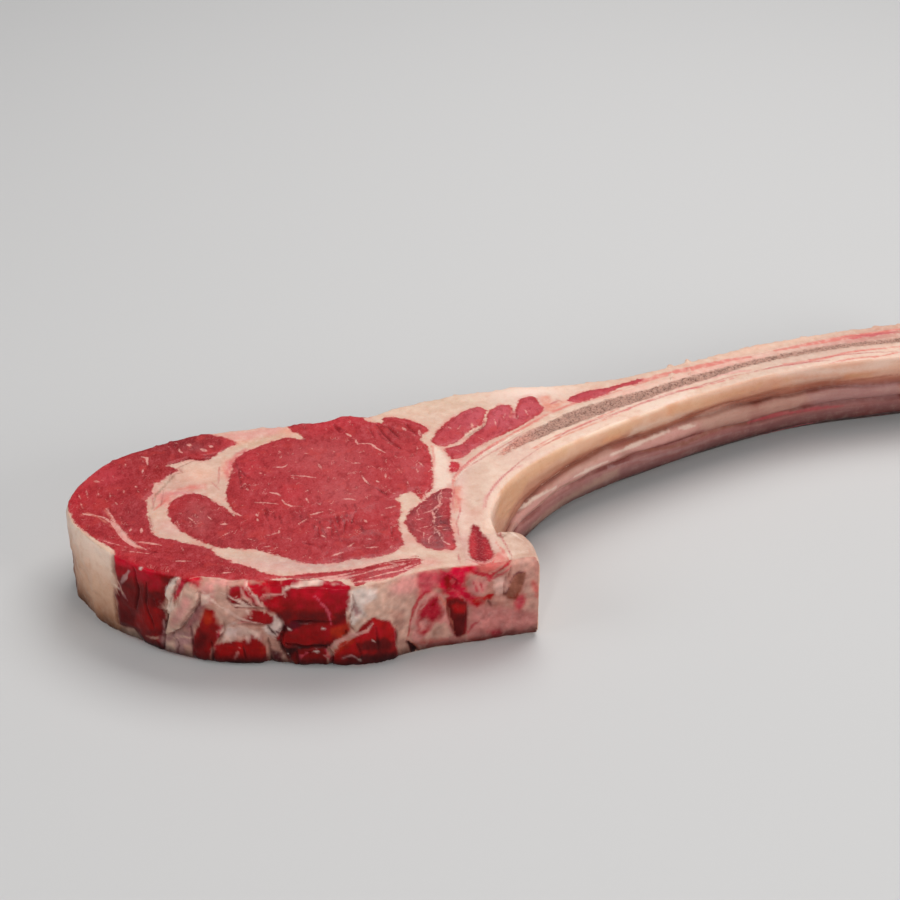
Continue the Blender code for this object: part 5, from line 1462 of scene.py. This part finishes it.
# %% All of it for one skin
def tissues_at(plan, normal):
    """All the numbers and colours that the materials need, for points anywhere on the steak."""
    length, gap = along_rim(plan, FRONT_CURVE, FRONT_LENGTH)[:2]
    upright, front = shares_of_sides(plan, normal, length, gap)
    ragged = 0.7 * unevenness(plan, 2.2, 23) + 0.4 * unevenness(plan, 1.1, 24)
    found = depths_in_cut(plan, front)
    lean, pale, spongy = tints_of_cut(plan, found, ragged)

    behind = upright * (1 - front) * (plan[:, 0] < HANDLE_START)
    round_end = np.hypot(*(plan[:, :2] - FRONT_CURVE[0][:2]).T)
    rind = smoothstep(40, 26, round_end + 3 * ragged + 5 * unevenness(plan, 9, 36)) * behind
    far = behind > 0
    if far.any():
        running_down = lean_behind(plan[far], normal[far], rind[far])
        found["lean"][far] += (running_down - found["lean"][far]) * behind[far]

    near = front > 0
    if near.any():
        share = front[near]
        uneven_height = plan[near, 2] + 0.5 * unevenness(plan[near], 3, 17)
        side = np.column_stack([length[near], uneven_height])
        for name, depth in depths_on_front(side).items():
            found[name][near] = found[name][near] * (1 - share) + depth * share
        wet = front_colours(plan[near], side, length[near], found["lean"][near], ragged[near])
        for layer in (lean, pale, spongy):
            layer[near] = layer[near] * (1 - share[:, None]) + wet * share[:, None]

    if far.any():
        lean[far], pale[far] = tint_behind(lean[far], pale[far], plan[far], length[far],
                                           behind[far], rind[far], round_end[far])
    pale = add_handle(plan, normal, front, ragged, found, pale)
    dry = smoothstep(-1.5, 1.5, found["rind"]) * (normal[:, 2] > 0.6)
    pale = tint(pale, dry * 0.5, shade(222, 190, 162))
    found.update(lean_tint=lean, pale_tint=pale, spongy_tint=spongy, side=front)
    return found


print("the front side ends", SIDE_END, "mm along it")

# %% Relief
# Where two tiny tufts of fat stand up on the far rim of the handle
FAR_TUFTS = (172, 181)


def relief_at(plan, normal, found):
    """Millimetres that a corner moves outward along its normal."""
    front = found["side"]
    swell = 0.22 * unevenness(plan, 11, 4) + 0.14 * unevenness(plan, 4.2, 5)
    swell += 0.06 * unevenness(plan, 1.9, 6)
    lean_edge = 0.22 * smoothstep(0, 2.4, found["lean"])
    creases = -0.75 * smoothstep(-0.5, 0.5, found["crease"])
    film = 0.9 * smoothstep(-0.4, 0.5, found["flap"])
    far_edge = smoothstep(0.3, 0.7, normal[:, 1]) * smoothstep(30, 37, plan[:, 2])
    upright = plan * (1, 1, 0.2)
    ragged = far_edge * (0.6 * unevenness(upright, 4, 21) + 0.5 * unevenness(upright, 1.8, 22))
    for tuft in FAR_TUFTS:
        ragged += far_edge * 1.8 * np.exp(-((plan[:, 0] - tuft) / 1.5) ** 2)
    pits = -0.35 * smoothstep(0, 0.6, found["spongy"]) * (0.6 + 0.4 * unevenness(plan, 1.5, 7))
    folds = front * (0.75 * unevenness(plan, 8, 8) + 0.35 * unevenness(plan, 3.4, 9))
    folds += front * 0.6 * smoothstep(0, 2.6, found["lean"])
    fibres = 0.25 * unevenness(plan * (0.12, 0.12, 1), 1.8, 10)
    strands = found["handle"] * (fibres + 0.8 * found["rolls"])
    moved = swell + lean_edge * (1 - 0.4 * front) + creases * (1 + 0.4 * front)
    return moved + film * (1 + 0.8 * front) + pits + folds + strands + ragged


LOW, HIGH = (np.array(corner) / MM for corner in CAD_BOX)
ATTRIBUTES = ("lean", "fleck", "flap", "red", "crease", "spongy", "porous", "side", "handle",
              "lean_tint", "pale_tint", "spongy_tint")
FOOT_RADIUS, HANDLE_RADIUS, HANDLE_FOOT_RADIUS = 3.6, 3.2, 6.5
KNOB_RADIUS, KNOB_FOOT_RADIUS = 6.8, 3.2


def dress(skin):
    plan, normal = corners_of(skin)
    found = tissues_at(plan, normal)
    step = relief_at(plan, normal, found)
    step = np.where(normal[:, 2] < -0.5, np.minimum(step - 0.1, 0), step)
    place = plan + normal * step[:, None]
    rim = along_rim(plan, FRONT_CURVE, FRONT_LENGTH)
    rounded(place, rim, np.interp(rim[0], *FRONT_RADII), FOOT_RADIUS)
    handle_rim = along_rim(plan, HANDLE_CURVE, HANDLE_LENGTH)
    rounded(place, handle_rim, HANDLE_RADIUS, HANDLE_FOOT_RADIUS)
    knob_rim = along_rim(plan, KNOB_CURVE, KNOB_LENGTH)
    rounded(place, knob_rim, KNOB_RADIUS, KNOB_FOOT_RADIUS)
    place = np.clip(place - PLAN_SHIFT, LOW + 0.02, HIGH - 0.02)
    skin.data.vertices.foreach_set("co", (place * MM).ravel())
    skin.data.update()
    for name in ATTRIBUTES:
        keep(skin, name, found[name])
    return np.abs(step).max()


for name, skin in skins.items():
    print(name, "moved at most", round(dress(skin), 2), "mm")
print("seconds so far:", round(time.time() - started, 1))

# %% [markdown]
# ## Materials
# All the materials read the same stored distances. A group turns a distance into a mask with a
# wandering, feathered edge, and others add the fibres of lean meat, the grain of fat and the
# pores of bone. One group joins them into the colour, roughness and height of the cut, so a
# colour runs on over a seam. Each material keeps its own marbling, wander of edges and softness.

# %% A bench for building node trees
class Bench:
    """Adds nodes to one tree. Values that are sockets get linked, others are set."""

    def __init__(self, tree):
        self.tree = tree

    def plug(self, socket, value):
        if isinstance(value, bpy.types.NodeSocket):
            self.tree.links.new(value, socket)
        else:
            socket.default_value = value

    def add(self, kind, settings=None, **sockets):
        """A node with its settings and its sockets by name."""
        node = self.tree.nodes.new(kind)
        for name, value in (settings or {}).items():
            setattr(node, name, value)
        for name, value in sockets.items():
            self.plug(node.inputs[name.replace("_", " ")], value)
        return node

    def maths(self, operation, *values):
        node = self.add("ShaderNodeMath", {"operation": operation})
        for socket, value in zip(node.inputs, values):
            self.plug(socket, value)
        return node.outputs[0]

    def times(self, first, *others):
        for other in others:
            first = self.maths("MULTIPLY", first, other)
        return first

    def blend(self, share, first, second, mode="MIX"):
        """Mixes two colours."""
        node = self.add("ShaderNodeMix", {"data_type": "RGBA", "blend_type": mode})
        self.plug(node.inputs[0], share)
        for socket, value in ((node.inputs[6], first), (node.inputs[7], second)):
            self.plug(socket, (*value, 1) if isinstance(value, tuple) else value)
        return node.outputs[2]

    def chosen(self, share, first, second):
        """Mixes two numbers."""
        node = self.add("ShaderNodeMix", {"data_type": "FLOAT"})
        for number, value in ((0, share), (2, first), (3, second)):
            self.plug(node.inputs[number], value)
        return node.outputs[0]

    def between(self, value, low, high, start=0.0, end=1.0):
        """A smooth step from start to end while the value goes from low to high."""
        return self.add("ShaderNodeMapRange", {"interpolation_type": "SMOOTHSTEP"}, Value=value,
                        From_Min=low, From_Max=high, To_Min=start, To_Max=end).outputs[0]

    def noise(self, vector, size, detail=2.0, roughness=0.5):
        """Clouds about as wide as the size in millimetres, from 0 to 1."""
        return self.add("ShaderNodeTexNoise", Vector=vector, Scale=1 / size, Detail=detail,
                        Roughness=roughness).outputs["Fac"]

    def stretched(self, vector, scale, turn=0.0):
        return self.add("ShaderNodeMapping", Vector=vector, Scale=scale,
                        Rotation=(0, 0, math.radians(turn))).outputs[0]

    def stored(self, name, output="Fac"):
        return self.add("ShaderNodeAttribute", {"attribute_name": name}).outputs[output]

    def millimetres(self):
        """The place on the steak in millimetres."""
        place = self.add("ShaderNodeTexCoord").outputs["Object"]
        return self.add("ShaderNodeVectorMath", {"operation": "SCALE"}, Vector=place,
                        Scale=1000.0).outputs[0]

    def grouped(self, tree, **sockets):
        return self.add("ShaderNodeGroup", {"node_tree": tree}, **sockets).outputs

    def feathered(self, distance, place, wander, width, feather):
        return self.grouped(edge_group, Distance=distance, Place=place, Wander=wander,
                            Width=width, Feather=feather)["Mask"]

    def results(self, **values):
        """Links what the group gives out."""
        for name, value in values.items():
            self.plug(self.made[name], value)
        print(self.tree.name, "has", len(self.tree.nodes), "nodes")


def group(name, inputs, outputs):
    """A bench with an empty node group on it, the group and its inputs."""
    tree = bpy.data.node_groups.new(name, "ShaderNodeTree")
    for label, kind, default in inputs:
        socket = tree.interface.new_socket(label, in_out="INPUT", socket_type=kind)
        if default is not None:
            socket.default_value = default
    for label, kind in outputs:
        tree.interface.new_socket(label, in_out="OUTPUT", socket_type=kind)
    bench = Bench(tree)
    given = tree.nodes.new("NodeGroupInput").outputs
    bench.made = tree.nodes.new("NodeGroupOutput").inputs
    return bench, tree, given


print("the bench is ready")

# %% Feathered edges
FLOAT, COLOUR, VECTOR = "NodeSocketFloat", "NodeSocketColor", "NodeSocketVector"
bench, edge_group, given = group(
    "feathered_edge",
    (("Distance", FLOAT, 0.0), ("Place", VECTOR, None), ("Wander", FLOAT, 1.0),
     ("Width", FLOAT, 2.0), ("Feather", FLOAT, 0.3)),
    (("Mask", FLOAT),))
cloud = bench.add("ShaderNodeTexNoise", Vector=given["Place"], Detail=3.5, Roughness=0.56,
                  Scale=bench.maths("DIVIDE", 1.0, given["Width"])).outputs["Fac"]
wandering = bench.maths("MULTIPLY_ADD", bench.maths("SUBTRACT", cloud, 0.5), given["Wander"],
                        given["Distance"])
lower = bench.times(given["Feather"], -1.0)
bench.results(Mask=bench.between(wandering, lower, given["Feather"]))

# %% [markdown]
# ### Lean meat
# The fibres of these muscles run from one cut face to the other. So the noise that stands for
# them is drawn out along Z: it shows as fine dots on the cut and as long streaks on the sides, as
# on the real meat. Marbling that is too fine to draw by hand comes from the thin contour lines of
# a slow noise, kept only here and there.

# %% The lean group
bench, lean_group, given = group(
    "lean_meat",
    (("Tint", COLOUR, None), ("Place", VECTOR, None), ("Fleck", FLOAT, -4.0),
     ("Crease", FLOAT, -4.0), ("Marbling", FLOAT, 0.5), ("Contrast", FLOAT, 1.0)),
    (("Colour", COLOUR), ("Height", FLOAT), ("Roughness", FLOAT)))
place = given["Place"]
fibres = bench.noise(bench.stretched(place, (1.0, 0.7, 0.16), 12), 0.6, 3.0, 0.6)
bundles = bench.noise(bench.stretched(place, (1.0, 0.6, 0.25), -20), 2.4, 3.0, 0.55)
slow = bench.noise(place, 7.0, 2.0, 0.5)
# Which noise, between which values, how strong, and the colour
FIBRE_COLOURS = (
    (fibres, 0.42, 0.72, 0.3, (0.53, 0.1, 0.105), "MIX"),
    (fibres, 0.5, 0.28, 0.42, (0.66, 0.46, 0.49), "MULTIPLY"),
    (bundles, 0.5, 0.34, 0.6, (0.68, 0.44, 0.48), "MULTIPLY"),
    (bundles, 0.54, 0.72, 0.35, (0.56, 0.1, 0.11), "MIX"),
    (slow, 0.54, 0.7, 0.4, (0.52, 0.045, 0.04), "MIX"),
)
red = given["Tint"]
for clouds, low, high, strength, colour, mode in FIBRE_COLOURS:
    share = bench.times(bench.between(clouds, low, high, 0.0, strength), given["Contrast"])
    red = bench.blend(share, red, colour, mode)
vein_field = bench.noise(bench.stretched(place, (1.0, 0.75, 0.5), 35), 6.0, 3.0, 0.62)
contour = bench.maths("ABSOLUTE", bench.maths("SUBTRACT", vein_field, 0.5))
here = bench.between(bench.noise(place, 4.0, 1.0, 0.5), 0.53, 0.64)
marbling = bench.times(given["Marbling"], given["Contrast"])
vein = bench.times(bench.between(contour, 0.0, 0.012, 1.0, 0.0), here, marbling)
drawn = bench.feathered(given["Fleck"], place, 1.1, 1.1, 0.25)
drawn = bench.times(drawn, bench.between(bundles, 0.35, 0.6, 0.45, 0.85))
pale_fleck = bench.maths("MAXIMUM", drawn, vein)
red = bench.blend(pale_fleck, red, (0.72, 0.33, 0.28))
# Creases are dented in the height and darkened with painted shade
groove = bench.feathered(given["Crease"], place, 0.6, 1.5, 0.5)
red = bench.blend(bench.times(groove, 0.75), red, (0.4, 0.16, 0.2), "MULTIPLY")
height = bench.maths("MULTIPLY_ADD", fibres, 0.05, bench.times(bundles, 0.2))
height = bench.maths("MULTIPLY_ADD", pale_fleck, 0.05, height)
height = bench.maths("MULTIPLY_ADD", groove, -0.14, height)
bench.results(Colour=red, Height=height, Roughness=bench.between(bundles, 0.3, 0.7, 0.3, 0.45))

# %% [markdown]
# ### Fat and the skin of bone
# Raw fat is cream and firm, with faint lobes and, where the knife passed, fine drag lines. A
# clouded colour and a low grain are enough; a regular pattern would look like candle wax.

# %% The fat group
bench, fat_group, given = group(
    "raw_fat",
    (("Tint", COLOUR, None), ("Place", VECTOR, None), ("Red Line", FLOAT, -4.0),
     ("Strands", FLOAT, 0.0), ("Crease", FLOAT, -4.0), ("Contrast", FLOAT, 1.0)),
    (("Colour", COLOUR), ("Height", FLOAT), ("Roughness", FLOAT)))
place = given["Place"]
lobes = bench.noise(place, 3.4, 3.0, 0.55)
grain = bench.noise(place, 0.7, 2.0, 0.5)
strand = bench.noise(bench.stretched(place, (0.16, 0.16, 1.0)), 2.2, 3.0, 0.55)
cloudy = bench.chosen(bench.times(given["Strands"], 0.5), lobes, strand)
paler = bench.times(bench.between(cloudy, 0.45, 0.75, 0.0, 0.35), given["Contrast"])
cream = bench.blend(paler, given["Tint"], (0.84, 0.66, 0.53))
darker = bench.between(cloudy, 0.48, 0.3, 0.0, 0.4)
cream = bench.blend(darker, cream, (0.88, 0.76, 0.7), "MULTIPLY")
grainy = bench.between(grain, 0.5, 0.3, 0.0, 0.3)
cream = bench.blend(grainy, cream, (0.9, 0.78, 0.74), "MULTIPLY")
stain = bench.feathered(given["Red Line"], place, 1.0, 1.6, 0.5)
stain = bench.times(stain, bench.between(lobes, 0.2, 0.6, 0.25, 0.75))
cream = bench.blend(stain, cream, (0.5, 0.07, 0.085))
# Creases are dented in the height and darkened with painted shade
groove = bench.feathered(given["Crease"], place, 0.6, 1.5, 0.5)
cream = bench.blend(bench.times(groove, 0.6), cream, (0.45, 0.25, 0.24), "MULTIPLY")
height = bench.maths("MULTIPLY_ADD", lobes, 0.2, bench.times(grain, 0.05))
height = bench.maths("MULTIPLY_ADD", bench.times(strand, given["Strands"]), 0.12, height)
bench.results(Colour=cream, Height=height, Roughness=bench.between(lobes, 0.3, 0.7, 0.5, 0.38))

# %% [markdown]
# ### Spongy bone
# Inside the rib lies a net of thin bone walls with marrow in its pores. Cells of a Voronoi
# pattern, small and uneven, make the pores, and the noise over them fills some of them.

# %% The spongy group
bench, spongy_group, given = group(
    "spongy_bone", (("Tint", COLOUR, None), ("Place", VECTOR, None), ("Pores", FLOAT, 1.0)),
    (("Colour", COLOUR), ("Height", FLOAT)))
place, tinted, pores = given["Place"], given["Tint"], given["Pores"]
cells = bench.add("ShaderNodeTexVoronoi", {"feature": "F1"}, Vector=place, Scale=1 / 0.8,
                  Randomness=1.0).outputs["Distance"]
mottled = bench.noise(place, 1.3, 3.0, 0.65)
filled = bench.maths("ADD", cells, bench.times(mottled, 0.8))
pore = bench.between(filled, 0.45, 0.95, 1.0, 0.0)
darker = bench.blend(pores, tinted, (0.46, 0.38, 0.36), "MULTIPLY")
wall = bench.times(bench.between(mottled, 0.45, 0.7, 0.0, 0.28), pores)
lighter = bench.blend(wall, tinted, (0.66, 0.38, 0.33))
bench.results(Colour=bench.blend(pore, lighter, darker), Height=bench.times(pore, -0.3, pores))

# %% [markdown]
# ### Joining the tissues
# The order is that of the real thing: fat and bone lie at the base, spongy bone is set into
# bone, and lean meat lies over both. Silver skin only stands out: its colour is in the paint.

# %% The whole cut as one group
bench, cut_group, given = group(
    "cut_through_the_steak", (("Marbling", FLOAT, 0.5), ("Edge Wander", FLOAT, 1.0)),
    (("Colour", COLOUR), ("Height", FLOAT), ("Roughness", FLOAT), ("Wetness", FLOAT)))
place, on_front, on_handle = bench.millimetres(), bench.stored("side"), bench.stored("handle")
crease, in_lean, flap = bench.stored("crease"), bench.stored("lean"), bench.stored("flap")
fat = bench.grouped(
    fat_group, Tint=bench.stored("pale_tint", "Color"), Place=place, Crease=crease,
    Red_Line=bench.stored("red"), Strands=on_handle,
    Contrast=bench.chosen(bench.maths("MAXIMUM", on_front, on_handle), 1.0, 0.25))
meat = bench.grouped(
    lean_group, Tint=bench.stored("lean_tint", "Color"), Place=place, Crease=crease,
    Fleck=bench.stored("fleck"), Marbling=given["Marbling"],
    Contrast=bench.chosen(on_front, 1.0, 0.06))
sponge = bench.grouped(spongy_group, Tint=bench.stored("spongy_tint", "Color"), Place=place,
                       Pores=bench.stored("porous"))
is_spongy = bench.feathered(bench.stored("spongy"), place, 2.4, 1.6, 0.9)
wander = bench.times(given["Edge Wander"], bench.chosen(on_front, 3.6, 3.4))
is_lean = bench.feathered(in_lean, place, wander, 2.3, bench.chosen(on_front, 0.6, 0.35))
blush = bench.times(bench.between(in_lean, -3.0, 0.3, 0.0, 0.6),
                    bench.between(bench.noise(place, 5.0, 3.0, 0.55), 0.4, 0.62),
                    bench.chosen(on_front, 1.0, 0.0))
colour = bench.blend(blush, fat["Colour"], (0.7, 0.26, 0.22))
colour = bench.blend(is_spongy, colour, sponge["Colour"])
colour = bench.blend(is_lean, colour, meat["Colour"])
is_flap = bench.feathered(flap, place, 0.7, 2.0, 0.22)
flap_edge = bench.times(is_flap, bench.between(flap, 0.4, 1.3, 1.0, 0.0))
height = bench.chosen(is_spongy, fat["Height"], sponge["Height"])
height = bench.chosen(is_lean, height, meat["Height"])
height = bench.chosen(is_flap, height, bench.maths("MULTIPLY_ADD", flap_edge, 0.15, 0.3))
roughness = bench.chosen(is_spongy, fat["Roughness"], 0.75)
roughness = bench.chosen(is_lean, roughness, meat["Roughness"])
wetness = bench.chosen(is_lean, 0.05, bench.chosen(on_front, 0.1, 0.08))
bench.results(Colour=colour, Height=height, Roughness=roughness,
              Wetness=bench.chosen(is_spongy, wetness, 0.0))

# %% [markdown]
# ### Gloss and softness
# Light enters meat and fat a millimetre or so and comes out again beside, which softens all
# their edges. A thin wet coat gives the sharp highlights, and it is strongest on lean meat.

# %% One material for each slot, by marbling, wander of the edges and softness
FINISHES = {
    "ribeye_lean": (0.55, 1.0, 0.12), "cap_lean": (0.35, 1.0, 0.12), "dark_lean": (0.6, 1.0, 0.12),
    "rib_lean": (0.25, 0.9, 0.12), "side_lean": (0.1, 1.0, 0.1), "fat": (0.4, 1.0, 0.15),
    "outer_fat": (0.3, 0.8, 0.15), "bone": (0.3, 1.0, 0.1), "marrow": (0.3, 1.0, 0.08),
    "red_marrow": (0.3, 1.0, 0.08), "rib_flesh": (0.2, 1.0, 0.12), "cartilage": (0.2, 0.9, 0.1),
    "spine_bone": (0.2, 1.0, 0.1),
}


LOOKS = {
    "Specular IOR Level": 0.09, "Coat Roughness": 0.14, "Subsurface Radius": (1.0, 0.35, 0.25),
    "Subsurface Scale": 1.2 * MM,
}


def tissue_material(slot, marbling, wander, softness):
    material = bpy.data.materials.new(slot)
    material.use_nodes = True
    bench = Bench(material.node_tree)
    cut = bench.grouped(cut_group, Marbling=marbling, Edge_Wander=wander)
    bump = bench.add("ShaderNodeBump", Height=cut["Height"], Distance=MM, Strength=0.8)
    looks = {**LOOKS, "Subsurface Weight": softness, "Base Color": cut["Colour"],
             "Roughness": cut["Roughness"], "Coat Weight": cut["Wetness"],
             "Normal": bump.outputs["Normal"]}
    for name, value in looks.items():
        bench.plug(bench.tree.nodes["Principled BSDF"].inputs[name], value)
    return material


MATERIALS = {slot: tissue_material(slot, *finish) for slot, finish in FINISHES.items()}
print("materials:", sorted(MATERIALS))

# %% Dressing the pieces
for name, (node, slot, voxel) in PIECES.items():
    skins[name].data.materials.clear()
    skins[name].data.materials.append(MATERIALS[slot])
    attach(skins[name], "root")
    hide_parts(node)
print("pieces:", len(skins), "faces:", sum(len(skin.data.polygons) for skin in skins.values()))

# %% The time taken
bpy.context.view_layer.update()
print("seconds in all:", round(time.time() - started, 1))
